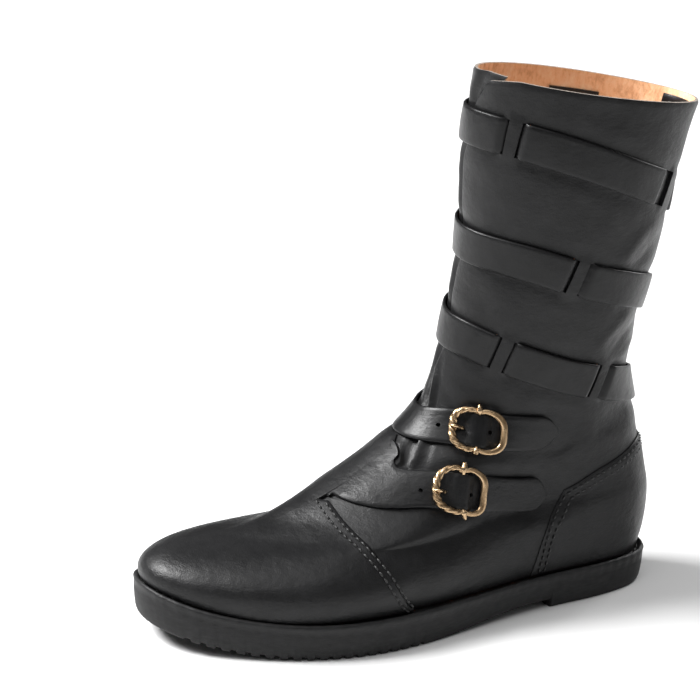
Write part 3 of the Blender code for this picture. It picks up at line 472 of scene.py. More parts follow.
def waxed_thread(name, low, high):
    """Waxed thread, twisted."""
    s = Shader(name)
    strands = s.noise(2400.0, 2.0, 0.5)
    s.set(colour=s.ramp(strands, ((0.3, low), (0.7, high))), rough=0.45, normal=s.bump(strands, 0.0002, 0.8), specular=0.5)
    return s.material


LEATHER = black_leather("black_leather", (0.0045, 0.0045, 0.0048), (0.0105, 0.0105, 0.011), 0.34, 0.50, 0.05, 1.0, 1.0)
STRAP_LEATHER = black_leather("black_strap_leather", (0.0035, 0.0035, 0.0038), (0.0080, 0.0080, 0.0084), 0.30, 0.43, 0.06, 0.8, 0.5)
FLESH = flesh_leather()
RAW_EDGE = raw_edge()
OUTSOLE_RUBBER = sole_rubber("black_outsole_rubber", (0.006, 0.006, 0.0063), (0.020, 0.020, 0.0205), 0.66)
MIDSOLE_EDGE = sole_rubber("black_midsole_edge", (0.005, 0.005, 0.0053), (0.015, 0.015, 0.0155), 0.50)
BRASS = antique_brass()
THREAD = waxed_thread("black_waxed_thread", (0.007, 0.007, 0.007), (0.024, 0.024, 0.024))


# Mesh helpers


def new_mesh(name, points, faces, materials, slots=None, sharp=40.0):
    """Smooth-shaded mesh object, linked to the scene."""
    mesh = bpy.data.meshes.new(name)
    mesh.from_pydata([tuple(p) for p in np.asarray(points, float).reshape(-1, 3)], [], faces)
    for item in materials:
        mesh.materials.append(item)
    if slots is not None:
        mesh.polygons.foreach_set("material_index", np.asarray(slots, np.int32))
    mesh.update()
    mesh.shade_smooth()
    if sharp:
        mesh.set_sharp_from_angle(angle=math.radians(sharp))
    made = bpy.data.objects.new(name, mesh)
    bpy.context.scene.collection.objects.link(made)
    return made


def grid_faces(rows, columns, base=0, flip=False, close_rows=False, close_columns=False):
    """Quads of a grid whose points run row by row."""
    i = np.arange(rows if close_rows else rows - 1)
    j = np.arange(columns if close_columns else columns - 1)
    a, b = np.meshgrid(i, j, indexing="ij")
    n = (a + 1) % rows
    m = (b + 1) % columns
    quads = np.stack((a * columns + b, a * columns + m, n * columns + m, n * columns + b), axis=-1).reshape(-1, 4) + base
    if flip:
        quads = quads[:, ::-1]
    return [tuple(int(v) for v in q) for q in quads]


def nearest(tree_points, points):
    """Distance and index of the nearest of some points."""
    tree = KDTree(len(tree_points))
    for i, p in enumerate(tree_points):
        tree.insert(p, i)
    tree.balance()
    found = [tree.find(p) for p in points]
    return np.array([f[2] for f in found]), np.array([f[1] for f in found])


def tube(centres, radii, sides, closed, normals, flat=None):
    """Points and faces of a round wire; radii may differ round it."""
    centres = np.asarray(centres, float)
    count = len(centres)
    if closed:
        tangent = np.roll(centres, -1, axis=0) - np.roll(centres, 1, axis=0)
    else:
        tangent = np.gradient(centres, axis=0)
    tangent /= np.linalg.norm(tangent, axis=1, keepdims=True)
    up = normals - tangent * (normals * tangent).sum(1, keepdims=True)
    up /= np.linalg.norm(up, axis=1, keepdims=True)
    side = np.cross(tangent, up)
    turn = 2 * math.pi * np.arange(sides) / sides
    radii = np.broadcast_to(np.asarray(radii, float).reshape(count, -1), (count, sides))
    lift = np.cos(turn) * radii
    if flat is not None:
        lift = lift * flat
    points = centres[:, None] + lift[..., None] * up[:, None] + (np.sin(turn) * radii)[..., None] * side[:, None]
    faces = grid_faces(count, sides, close_rows=closed, close_columns=True)
    points = points.reshape(-1, 3)
    if not closed:
        faces.append(tuple(range(sides))[::-1])
        faces.append(tuple((count - 1) * sides + k for k in range(sides)))
    return points, faces


def turned_out(made):
    """Face normals made to point outwards."""
    import bmesh
    edit = bmesh.new()
    edit.from_mesh(made.data)
    bmesh.ops.recalc_face_normals(edit, faces=edit.faces)
    edit.to_mesh(made.data)
    edit.free()


def finish_piece(made, slot, *nodes):
    turned_out(made)
    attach(made, "root")
    if nodes:
        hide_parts(*nodes)
    return made


# Relief of the leather: folds, the swell between the straps, the bridges

# Soft folds: height in mm, half width in mm, then places (angle, level)
FOLDS = (
    (1.1, 5.0, ((44, 0.800), (60, 0.772), (72, 0.728), (80, 0.700))),
    (-0.9, 4.5, ((30, 0.775), (50, 0.742), (63, 0.705))),
    (1.0, 4.5, ((30, 0.655), (52, 0.632), (68, 0.590), (76, 0.560))),
    (-0.9, 4.0, ((24, 0.618), (45, 0.597), (60, 0.560))),
    (0.8, 4.0, ((14, 0.588), (36, 0.566), (52, 0.538))),
    (-1.6, 11.0, ((36, 0.425), (50, 0.408), (66, 0.398))),
    (0.9, 7.0, ((28, 0.370), (48, 0.352), (70, 0.346), (84, 0.352))),
    (0.7, 6.0, ((150, 0.650), (140, 0.625), (128, 0.610))),
    (-0.6, 6.0, ((168, 0.625), (152, 0.606), (138, 0.590))),
    (0.6, 6.0, ((160, 0.480), (148, 0.462), (130, 0.452))),
    (-0.7, 5.0, ((176, 0.480), (160, 0.455), (140, 0.440))),
    (0.9, 7.0, ((226, 0.980), (228, 0.880), (222, 0.800), (214, 0.720))),
    (0.5, 3.0, ((232, 0.860), (216, 0.842), (200, 0.820))),
    (-0.5, 2.6, ((236, 0.846), (218, 0.828), (202, 0.806))),
    (0.5, 2.8, ((238, 0.832), (222, 0.812), (206, 0.790))),
    (-0.4, 2.6, ((240, 0.816), (224, 0.798), (210, 0.776))),
    (0.7, 5.0, ((300, 0.640), (316, 0.612), (334, 0.590))),
    (-0.8, 6.0, ((296, 0.430), (312, 0.410), (330, 0.400))),
    (0.6, 5.0, ((236, 0.500), (250, 0.470), (268, 0.452))),
    (-0.8, 9.0, ((206, 0.330), (232, 0.300), (258, 0.280))),
    (0.6, 7.0, ((200, 0.275), (224, 0.250), (250, 0.235))),
    (-0.7, 7.0, ((150, 0.230), (165, 0.215), (182, 0.205))),
    (0.5, 6.0, ((140, 0.185), (158, 0.170), (178, 0.165))),
    (-0.6, 8.0, ((132, 0.150), (150, 0.135), (168, 0.130))),
)


def fold_samples():
    places = []
    heights = []
    widths = []
    for height, width, line in FOLDS:
        line = np.array(line, float)
        knots = np.arange(len(line))
        t = np.linspace(0, len(line) - 1, 40)
        spots = spline(knots, line, t)
        ends = np.sin(np.pi * np.linspace(0.06, 0.94, 40)) ** 0.8
        places.append(wall(spots[:, 0], spots[:, 1]))
        heights.append(height * 0.001 * ends)
        widths.append(np.full(40, width * 0.001))
    return places, heights, widths


FOLD_PLACES, FOLD_HEIGHTS, FOLD_WIDTHS = fold_samples()
STRAP_LINE = WRAP_PATH.place(np.linspace(WRAP_PATH.way_at(START_SLOT_ANGLE), WRAP_PATH.length, 700), 0.0, 0.0)
LOWER_LINE = LOWER_PATH.place(np.linspace(0, LOWER_PATH.length, 70), 0.0, 0.0)
BRIDGES = [(WRAP_PATH.way_at(a), BRIDGE_HALF, SLOT_LENGTH) for a in BRIDGE_ANGLES]
BRIDGES.append((WRAP_PATH.way_at(BACK_BRIDGE_ANGLE), BACK_BRIDGE_HALF, BACK_SLOT_LENGTH))


def bridge_frames():
    frames = []
    for way, half, _ in BRIDGES:
        here = WRAP_PATH.place(np.array([way - 0.001, way, way + 0.001]), 0.0, 0.0)
        up = WRAP_PATH.place(np.array([way]), 0.001, 0.0)[0] - here[1]
        along = here[2] - here[0]
        frames.append((here[1], along / np.linalg.norm(along), up / np.linalg.norm(up), half))
    return frames


BRIDGE_FRAMES = bridge_frames()
BRIDGE_RISE = 0.0013


def bridge_rise(points):
    """Outward arch of the strips that the strap dips under."""
    rise = np.zeros(len(points))
    for centre, along, up, half in BRIDGE_FRAMES:
        off = points - centre
        u = np.abs(off @ along)
        v = np.abs(off @ up)
        near = np.linalg.norm(off, axis=1) < 0.03
        window = (1 - smooth((u - half) / 0.004)) * (1 - smooth((v - STRAP_WIDTH * 0.42) / 0.0065))
        rise = np.maximum(rise, np.where(near, window * BRIDGE_RISE, 0.0))
    return rise


def relief(points):
    """Height of the leather's folds above the plain wall, by place."""
    rise = np.zeros(len(points))
    for places, heights, widths in zip(FOLD_PLACES, FOLD_HEIGHTS, FOLD_WIDTHS):
        low = places.min(0) - 3 * widths[0]
        high = places.max(0) + 3 * widths[0]
        near = np.where(np.all((points > low) & (points < high), axis=1))[0]
        if len(near) == 0:
            continue
        gap = np.linalg.norm(points[near][:, None] - places[None], axis=2)
        k = gap.argmin(1)
        rise[near] += heights[k] * np.exp(-(gap[np.arange(len(near)), k] / widths[k]) ** 2)
    return rise


def strap_shade(points):
    """Distance of each point from the middle of the straps."""
    gap, _ = nearest(np.concatenate((STRAP_LINE, LOWER_LINE)), points)
    return gap


def wall_relief(points):
    """Folds kept off the straps, with the leather pressed in under them."""
    gap = strap_shade(points)
    clear = smooth((gap - STRAP_WIDTH / 2) / 0.005)
    swell = 0.0007 * smooth((gap - STRAP_WIDTH / 2 - 0.001) / 0.009)
    return relief(points) * clear + swell - 0.00035 * (1 - clear)


# The upper's wall


def flap_angle(level):
    levels = [row[0] for row in FLAP_EDGE]
    angles = [row[1] for row in FLAP_EDGE]
    return np.interp(level, levels, angles)


MAIN_COLUMNS = 226
LEVEL_COUNT = 184


def upper_columns(level):
    """Angle, inward push and top drop of every column of the wall at one level."""
    edge = float(flap_angle(level))
    rise = level - THROAT_LEVEL
    opened = float(smooth(rise / 0.016))
    lapped = float(smooth((rise - 0.012) / 0.03))
    k = np.arange(MAIN_COLUMNS + 1)
    angle = edge - (360.0 - DIP_START_DEG) * (k / MAIN_COLUMNS)
    round_mm = k / MAIN_COLUMNS * 330.0
    corner = 0.012 * np.clip(1 - round_mm / 26.0, 0, None) + 0.022 * np.clip(1 - round_mm / 6.5, 0, None) ** 2.2
    drop = corner * smooth((level - 0.86) / 0.14)
    turn = np.linspace(DIP_START_DEG, 0.0, 13)[1:] if lapped == 0 else None
    lap = np.array([12.6, 11.2, 9.8, 8.4, 7.0, 5.6, 4.2, 2.5, 0.0, -5.0, -10.5, -FLAP_OVERLAP_DEG])
    shut = np.linspace(DIP_START_DEG, 0.0, 13)[1:]
    gape = shut * 0.5 + 0.6
    turn = shut * (1 - opened) + gape * opened
    turn = turn * (1 - lapped) + lap * lapped
    push = smooth((DIP_START_DEG - lap) / 9.0) * opened * (WALL + GAP + 0.0003 + 0.0010 * smooth((level - 0.9) / 0.08))
    angle = np.concatenate((angle, edge - 360.0 + turn))
    push = np.concatenate((np.zeros(MAIN_COLUMNS + 1), push))
    drop = np.concatenate((drop, np.zeros(12)))
    return angle, push, drop


def build_upper():
    below = int(round(LEVEL_COUNT * THROAT_LEVEL))
    levels = np.concatenate((np.linspace(0, THROAT_LEVEL, below + 1), np.linspace(THROAT_LEVEL, 1.0, LEVEL_COUNT - below)[1:]))
    rows = len(levels)
    table = [upper_columns(v) for v in levels]
    angle = np.array([t[0] for t in table])
    push = np.array([t[1] for t in table])
    level = levels[:, None] - np.array([t[2] for t in table])
    columns = angle.shape[1]
    plain, normal, _, _ = wall_frame(angle, level)
    flat = plain.reshape(-1, 3)
    raise_by = wall_relief(flat).reshape(rows, columns)
    arch = bridge_rise(flat).reshape(rows, columns)
    under = (angle < flap_angle(levels)[:, None] - 360.0 + 1.0) | (push > 0.001)
    raise_by = np.where(under, 0.0, raise_by)
    # the flap's front edge and the collar roll outwards a little
    way = (np.arange(columns) / MAIN_COLUMNS * 0.330)[None, :]
    roll = (0.0021 * np.exp(-(way / 0.0034) ** 2) - 0.0006 * np.exp(-((way - 0.0072) / 0.0022) ** 2)) * smooth((levels[:, None] - 0.34) / 0.02) * (1 - smooth((levels[:, None] - 0.47) / 0.05))
    lip = 0.0005 * np.exp(-((1 - levels[:, None]) * 0.31 / 0.006) ** 2)
    wave = 0.0006 * np.sin(np.radians(angle) * 3 + 0.7) * smooth((levels[:, None] - 0.93) / 0.07)
    fade = smooth(levels[:, None] / 0.03)
    lift = (raise_by * fade + roll + lip + wave) + arch
    outer = lifted(angle, level, lift - push)
    inner = lifted(angle, level, lift * 0.9 - push - WALL)
    # rounded edges at the collar and at the flap's front
    outer[-1] = outer[-1] * 0.72 + inner[-1] * 0.28
    throat = below
    outer[throat:, 0] = outer[throat:, 0] * 0.72 + inner[throat:, 0] * 0.28
    count = rows * columns

    def index(i, j):
        return i * columns + (0 if j == columns - 1 and i <= throat else j)

    faces = []
    slots = []
    for base, slot in ((0, 0), (count, 1)):
        for i in range(rows - 1):
            for j in range(columns - 1):
                quad = (index(i, j), index(i, j + 1), index(i + 1, j + 1), index(i + 1, j))
                quad = tuple(dict.fromkeys(quad))
                if len(quad) > 2:
                    faces.append(tuple(base + v for v in quad))
                    slots.append(slot)
    edges = [(index(0, j), index(0, j + 1)) for j in range(columns - 1)]
    edges += [(index(rows - 1, j), index(rows - 1, j + 1)) for j in range(columns - 1)]
    for i in range(throat, rows - 1):
        edges.append((index(i, 0), index(i + 1, 0)))
        edges.append((index(i, columns - 1), index(i + 1, columns - 1)))
    faces += [(a, b, count + b, count + a) for a, b in edges]
    slots += [2] * len(edges)
    points = np.concatenate((outer.reshape(-1, 3), inner.reshape(-1, 3)))
    used = np.zeros(len(points), bool)
    for f in faces:
        used[list(f)] = True
    renumber = np.cumsum(used) - 1
    faces = [tuple(int(renumber[v]) for v in f) for f in faces]
    made = new_mesh("upper_leather", points[used], faces, [LEATHER, FLESH, RAW_EDGE], slots)
    turned_out(made)
    cut_slots(made)
    return finish_piece(made, "upper_leather", "upper")


def slot_box(low_way, high_way):
    half = STRAP_WIDTH / 2 - 0.0003
    ways = np.linspace(low_way, high_way, 5)
    across = np.array([-half, 0.0, half])
    w, c = np.meshgrid(ways, across, indexing="ij")
    low = WRAP_PATH.place(w, c, -WALL - 0.0030).reshape(-1, 3)
    high = WRAP_PATH.place(w, c, 0.0040).reshape(-1, 3)
    faces = grid_faces(5, 3) + grid_faces(5, 3, 15, True)
    rim = [0, 1, 2, 5, 8, 11, 14, 13, 12, 9, 6, 3]
    for a, b in zip(rim, rim[1:] + rim[:1]):
        faces.append((a, b, 15 + b, 15 + a))
    return np.concatenate((low, high)), faces


def cut_slots(made):
    """Slits of the wall that the strap goes through."""
    points = []
    faces = []
    boxes = []
    for way, half, slot in BRIDGES:
        boxes.append(slot_box(way - half - slot, way - half))
        boxes.append(slot_box(way + half, way + half + slot))
    start = WRAP_PATH.way_at(START_SLOT_ANGLE)
    boxes.append(slot_box(start - 0.0042, start + 0.0042))
    for more, sides in boxes:
        faces += [tuple(len(points) + v for v in f) for f in sides]
        points += [tuple(p) for p in more]
    # The cutter's faces take the wall's first material, the black leather, not the raw edge. This is painted shade that
    # makes the slits read deep black inside.
    tool = new_mesh("slits", points, faces, [LEATHER], None, None)
    turned_out(tool)
    change = made.modifiers.new("slits", "BOOLEAN")
    change.operation = "DIFFERENCE"
    change.solver = "MANIFOLD"
    change.object = tool
    bake(made)
    bpy.data.objects.remove(tool, do_unlink=True)
    made.data.shade_smooth()
    made.data.set_sharp_from_angle(angle=math.radians(45))


def bake(made):
    """Modifiers applied to the mesh."""
    graph = bpy.context.evaluated_depsgraph_get()
    mesh = bpy.data.meshes.new_from_object(made.evaluated_get(graph))
    made.modifiers.clear()
    made.data = mesh


# Straps


def section(half, thick, crown=0.00022):
    """Cross-section of a strap: places across and heights, counter-clockwise."""
    top = np.linspace(1, -1, 11)
    flat = half - 0.0007
    points = [(c * flat, thick - crown * c * c) for c in top]
    left = [(-half + 0.0002, thick - 0.00055), (-half, thick - 0.0010), (-half + 0.0001, 0.0004)]
    bottom = [(-half * 0.92, 0.0), (-half * 0.4, 0.0), (half * 0.4, 0.0), (half * 0.92, 0.0)]
    right = [(-x, y) for x, y in reversed(left)]
    return np.array(points + left + bottom + right)


def tip_half_width(left, full=STRAP_WIDTH / 2, length=0.012):
    share = np.clip(left / length, 0.0, 1.0)
    return full * np.maximum(0.06, np.sin(share * math.pi / 2) ** 0.72)


def tip_thin(left):
    """How much of its thickness the strap has near its tip, by the distance to it."""
    return 1 - 0.42 * (1 - smooth(left / 0.020))


def strap_points(path, ways, halves, lifts, rooted=None):
    across = []
    heights = []
    thin = tip_thin(path.length - ways)
    crowns = 0.00022 * (1 - (0 if rooted is None else rooted)) * np.ones(len(ways))
    for half, lift, share, crown in zip(halves, lifts, thin, crowns):
        shape = section(half, STRAP_THICK * share, crown)
        lift = lift - 0.0011 * (1 - share)
        across.append(shape[:, 0])
        heights.append(shape[:, 1] + lift)
    across = np.array(across)
    heights = np.array(heights)
    w = np.broadcast_to(np.asarray(ways)[:, None], across.shape)
    if rooted is not None:
        folds = wall_relief(path.place(w, across, 0.0).reshape(-1, 3)).reshape(across.shape)
        heights = heights + folds * rooted[:, None]
    return path.place(w, across, heights)


def bar_hump(distance):
    near = np.maximum(0.0, 1 - distance / 0.0085)
    return (GAP + BAR_WIRE + GAP - STRAP_LIFT + GAP) * smooth(near * 1.3)


BRIDGE_SINK = 0.0034


def wrap_lifts(ways):
    lift = np.full(len(ways), STRAP_LIFT)
    for way, half, slot in BRIDGES:
        away = np.abs(ways - way)
        dip = 1 - smooth((away - half - slot + 0.0047) / 0.0054)
        lift = np.minimum(lift, STRAP_LIFT - BRIDGE_SINK * dip)
    start = WRAP_PATH.way_at(START_SLOT_ANGLE)
    share = smooth((start + 0.0045 - ways) / 0.009)
    lift = lift * (1 - share) - (WALL + STRAP_THICK + 2 * GAP) * share
    return lift + bar_hump(np.abs(ways - WRAP_PATH.way_at(UPPER_BUCKLE_ANGLE)))


def build_wrap():
    start = WRAP_PATH.way_at(START_SLOT_ANGLE) - 0.016
    step = 0.0013
    ways = np.linspace(start, WRAP_PATH.length, int((WRAP_PATH.length - start) / step))
    halves = tip_half_width(WRAP_PATH.length - ways)
    points = strap_points(WRAP_PATH, ways, halves, wrap_lifts(ways))
    rows, columns = points.shape[:2]
    faces = grid_faces(rows, columns, close_columns=True)
    faces += [tuple(range(columns)), tuple((rows - 1) * columns + k for k in range(columns))]
    made = new_mesh("wrap_strap_leather", points, faces, [STRAP_LEATHER], None, 50)
    turned_out(made)
    bar = WRAP_PATH.way_at(UPPER_BUCKLE_ANGLE)
    punch(made, WRAP_PATH, (bar - 0.0208, bar + 0.0060))
    return finish_piece(made, "strap_leather", "wrap_strap")


# Vamp with the lower strap, and the heel counter

VAMP_SEAM = (
    (99.0, 0.0), (101.5, 0.012), (104.0, 0.032), (107.5, 0.057), (112.0, 0.088), (118.0, 0.120), (128.0, 0.165),
    (139.0, 0.203), (150.0, 0.229), (161.0, 0.246), (172.0, 0.258),
)
ROOT_LOW = ((71.0, 0.170), (100.0, 0.215), (120.0, 0.256), (132.0, 0.264), (150.0, 0.267), (164.0, 0.267), (172.0, 0.264))
ROOT_HIGH = ((133.0, 0.335), (138.0, 0.334), (145.0, 0.334), (155.0, 0.343), (164.0, 0.357), (172.0, 0.369))
EDGE_MARGIN = (0.0024, 0.0052, 0.0062, 0.0062)
SEAM_EVEN = 22
VAMP_END = 264.0
VAMP_LIFT = GAP + VAMP_THICK
ROOT_ANGLE = 172.0


def strap_underside_level(angle):
    """Level of the wrapping strap's lower edge in front, where the vamp goes under it."""
    turns = -1080.0
    ways = np.linspace(WRAP_PATH.way_at(-820.0), WRAP_PATH.way_at(-918.0), 60)
    a, v = WRAP_PATH.spot(ways, -STRAP_WIDTH / 2 - 0.0006)
    order = np.argsort(a)
    return np.interp(angle + turns, a[order], v[order])


def vamp_fade(angle):
    """The vamp thins out on the medial side, where the leather runs through."""
    return 1 - smooth((angle - 205.0) / 50.0)


def edge_round(distance, thick):
    """Drop of a leather edge by the distance to it."""
    near = np.clip(1 - distance / 0.0016, 0, 1)
    return thick * 0.55 * near ** 2.4


def patch(angle, level, lift):
    """Outer points of an overlay, with the wall's own folds under it."""
    flat = wall(angle, level).reshape(-1, 3)
    folds = wall_relief(flat).reshape(angle.shape)
    return lifted(angle, level, lift + folds * smooth(level / 0.03))


def even_to_edge(count, length):
    """Shares from 0 to 1, closing up towards 1 where the edge is."""
    t = np.linspace(0, 1, count)
    close = 1 - np.array([0.0, 0.0004, 0.0009, 0.0017]) / length
    return np.unique(np.concatenate((t[t < close[-1] - 0.4 / count], close)))


def build_vamp():
    step = 1.0
    low = np.array(ROOT_LOW)
    high = np.array(ROOT_HIGH)
    # lateral part: from the seam at the sole up to the slit
    a_cols = np.concatenate((np.linspace(97.9, 104, 14), np.arange(104 + step / 2, ROOT_ANGLE, step / 1.6), [ROOT_ANGLE]))
    shares = even_to_edge(44, 0.075)
    edge_angle, edge_level = beside(VAMP_SEAM, np.interp(np.linspace(0, 1, 160), (0.0, 0.25, 0.6, 1.0), EDGE_MARGIN), SEAM_EVEN)
    order = np.argsort(edge_angle)
    edge = np.interp(a_cols, edge_angle[order], edge_level[order])
    tops = np.minimum(edge, spline(low[:, 0], low[:, 1], a_cols) - 0.0020)
    levels = tops[:, None] * shares[None, :]
    gap = (tops[:, None] - levels) * 0.31
    lift = VAMP_LIFT - edge_round(gap, VAMP_THICK)
    grid_a = patch(np.broadcast_to(a_cols[:, None], levels.shape), levels, lift)
    # front and medial part
    b_cols = np.arange(ROOT_ANGLE, VAMP_END, step / 1.2)
    joint = levels[-1]
    root_shares = np.linspace(0, 1, 26)
    root_levels = low[-1, 1] + (high[-1, 1] - low[-1, 1]) * root_shares
    whole = np.concatenate((joint, root_levels))
    top_b = np.interp(b_cols, (ROOT_ANGLE, 177.0, 186.0), (high[-1, 1], 0.377, 0.393))
    under = strap_underside_level(b_cols)
    top_b = np.minimum(top_b, under)
    levels_b = whole[None, :] * (1 + (top_b[:, None] / whole[-1] - 1) * (whole[None, :] / whole[-1]) ** 1.5)
    gap_b = (top_b[:, None] - levels_b) * 0.31
    fade = vamp_fade(b_cols)[:, None]
    lift_b = VAMP_LIFT * fade - 0.0004 * (1 - fade) - edge_round(gap_b, VAMP_THICK) * fade
    lift_b -= 0.00006 * (1 - smooth((b_cols[:, None] - ROOT_ANGLE) / 3.0))
    grid_b = patch(np.broadcast_to(b_cols[:, None], levels_b.shape), levels_b, lift_b)
    points = []
    faces = []
    for grid, flip in ((grid_a, False), (grid_b, False)):
        rows, columns = grid.shape[:2]
        faces += grid_faces(rows, columns, len(points), flip)
        points += [tuple(p) for p in grid.reshape(-1, 3)]
    made = new_mesh("vamp_leather", points, faces, [LEATHER, RAW_EDGE], None, 0)
    weld(made, 0.00005)
    turned_out(made)
    thicken = made.modifiers.new("thickness", "SOLIDIFY")
    thicken.thickness = VAMP_THICK + 0.0004
    thicken.offset = -1.0
    bake(made)
    made.data.shade_smooth()
    made.data.set_sharp_from_angle(angle=math.radians(50))
    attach(made, "root")
    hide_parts("vamp")
    return made


def weld(made, distance):
    import bmesh
    edit = bmesh.new()
    edit.from_mesh(made.data)
    bmesh.ops.remove_doubles(edit, verts=edit.verts, dist=distance)
    edit.to_mesh(made.data)
    edit.free()


ROOT_HALVES = ((178.0, 0.0242), (172.0, 0.0238), (164.0, 0.0197), (155.0, 0.0152), (146.0, 0.0114), (138.0, 0.0101), (134.0, 0.0098))


def build_lower_strap():
    """The vamp's strap: it widens into the vamp at its root and ends in a point."""
    step = 0.0010
    ways = np.linspace(0.0, ROOT_PATH.length, int(ROOT_PATH.length / step))
    root = np.array(ROOT_HALVES)
    marks = np.array([ROOT_PATH.way_at(a) for a in root[:, 0]])
    halves = np.interp(ways, marks, root[:, 1]) * tip_half_width(ROOT_PATH.length - ways) / (STRAP_WIDTH / 2)
    bar = ROOT_PATH.way_at(LOWER_BUCKLE_ANGLE)
    rooted = 1 - smooth((ways - marks[1]) / (marks[4] - marks[1]))
    duck = np.interp(ways, (0.0, marks[1] / 2, marks[1]), (0.0004, 0.00003, 0.0))
    lifts = STRAP_LIFT + (VAMP_LIFT - STRAP_THICK - STRAP_LIFT - duck) * rooted + bar_hump(np.abs(ways - bar))
    points = strap_points(ROOT_PATH, ways, halves, lifts, rooted)
    rows, columns = points.shape[:2]
    faces = grid_faces(rows, columns, close_columns=True)
    faces += [tuple(range(columns)), tuple((rows - 1) * columns + k for k in range(columns))]
    made = new_mesh("lower_strap_leather", points, faces, [LEATHER], None, 50)
    turned_out(made)
    punch(made, ROOT_PATH, (bar - 0.0206, bar + 0.0065))
    return finish_piece(made, "upper_leather")


def punch(made, path, ways):
    """Round holes through a strap."""
    points = []
    faces = []
    turn = 2 * math.pi * np.arange(14) / 14
    for way in ways:
        low = path.place(way + HOLE_RADIUS * np.cos(turn), HOLE_RADIUS * np.sin(turn), -0.0004)
        high = path.place(way + HOLE_RADIUS * np.cos(turn), HOLE_RADIUS * np.sin(turn), 0.0090)
        base = len(points)
        points += [tuple(p) for p in low] + [tuple(p) for p in high]
        faces += [(base + k, base + (k + 1) % 14, base + 14 + (k + 1) % 14, base + 14 + k) for k in range(14)]
        faces += [tuple(base + k for k in range(14)), tuple(base + 14 + k for k in range(14))]
    tool = new_mesh("holes", points, faces, [STRAP_LEATHER], None, None)
    turned_out(tool)
    change = made.modifiers.new("holes", "BOOLEAN")
    change.operation = "DIFFERENCE"
    change.solver = "MANIFOLD"
    change.object = tool
    bake(made)
    bpy.data.objects.remove(tool, do_unlink=True)
    made.data.shade_smooth()
    made.data.set_sharp_from_angle(angle=math.radians(45))


HOLE_RADIUS = 0.0012


COUNTER_TOP = (
    (-65.0, 0.212), (-60.0, 0.236), (-56.0, 0.254), (-50.0, 0.269), (-40.0, 0.286), (-27.0, 0.302), (-12.0, 0.308),
    (0.0, 0.308), (12.0, 0.309), (27.0, 0.307), (40.0, 0.288), (50.0, 0.270), (56.0, 0.254), (60.0, 0.236), (65.0, 0.212),
)


def build_counter():
    step = 1.0
    top = np.array(COUNTER_TOP)
    shares_a = np.concatenate((-even_to_edge(46, 0.075)[::-1], even_to_edge(46, 0.075)[1:]))
    reach = 65.0
    columns = shares_a * reach
    tops = spline(top[:, 0], top[:, 1], columns)
    shares = even_to_edge(int(64 / step), 0.09)
    levels = tops[:, None] * shares[None, :]
    side = np.where(levels < 0.21, 1.0 - 0.02 * np.sin(levels / 0.21 * math.pi), 1.0)
    angles = columns[:, None] * side
    gap_top = (tops[:, None] - levels) * 0.31
    gap_side = (reach - np.abs(columns))[:, None] * 0.00075
    gap = np.minimum(gap_top, gap_side)
    skived = 0.00055 * (1 - smooth(gap / 0.009))
    lift = GAP + COUNTER_THICK - skived - edge_round(gap, COUNTER_THICK - 0.0003)
    grid = patch(angles, levels, lift)
    rows, cols = grid.shape[:2]
    made = new_mesh("heel_counter_leather", grid, grid_faces(rows, cols), [LEATHER], None, 0)
    turned_out(made)
    thicken = made.modifiers.new("thickness", "SOLIDIFY")
    thicken.thickness = COUNTER_THICK + 0.0002
    thicken.offset = -1.0
    bake(made)
    made.data.shade_smooth()
    made.data.set_sharp_from_angle(angle=math.radians(50))
    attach(made, "root")
    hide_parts("heel_counter")
    return made


# Sole


def sole_loops(shares, inset, height):
    """Loop round the sole at an inset from its edge, heel's back first."""
    y = HEEL_BACK_Y - shares * SOLE_LENGTH
    lateral = np.stack((sole_half_width(shares, 1), y), axis=1)
    medial = np.stack((sole_half_width(shares, -1), y), axis=1)
    back = np.array([[0.0, HEEL_BACK_Y]])
    toe = np.array([[TIP_X * SOLE_WIDTH, HEEL_BACK_Y - SOLE_LENGTH]])
    loop = np.concatenate((back, lateral, toe, medial[::-1]))
    ahead = np.roll(loop, -1, axis=0) - np.roll(loop, 1, axis=0)
    normal = np.stack((-ahead[:, 1], ahead[:, 0]), axis=1)
    normal /= np.linalg.norm(normal, axis=1, keepdims=True)
    if np.sum(normal * (loop - loop.mean(0))) < 0:
        normal = -normal
    moved = loop - normal * np.broadcast_to(np.asarray(inset, float), (len(loop),))[:, None]
    own = (HEEL_BACK_Y - loop[:, 1]) / SOLE_LENGTH
    now = (HEEL_BACK_Y - moved[:, 1]) / SOLE_LENGTH
    z = height(own) + TOE_SPRING * (toe_rise(now) - toe_rise(own))
    return np.column_stack((moved, z))


def loft(name, loops, rows, material, slot, node, sharp=35):
    """Closed solid from loops, its ends crossed by strips from side to side."""
    size = len(loops[0])
    points = np.concatenate(loops)
    faces = grid_faces(len(loops), size, close_columns=True)
    last = (len(loops) - 1) * size
    for base in (0, last):
        faces.append((base, base + 1, base + size - 1))
        for i in range(1, rows):
            faces.append((base + i, base + i + 1, base + size - i - 1, base + size - i))
        faces.append((base + rows, base + rows + 1, base + rows + 2))
    made = new_mesh(name, points, faces, [material], None, sharp)
    return finish_piece(made, slot, node)


def arch_height(share):
    breast = HEEL_LENGTH / SOLE_LENGTH
    arch = HEEL_STEP * (1 - smooth((share - 0.30) / 0.24))
    return np.where(share < breast, 0.0, np.where(share < SPRING_START, arch, TOE_SPRING * toe_rise(share)))


def fine_shares():
    count = 230
    return (1 - np.cos(np.pi * np.arange(1, count) / count)) / 2


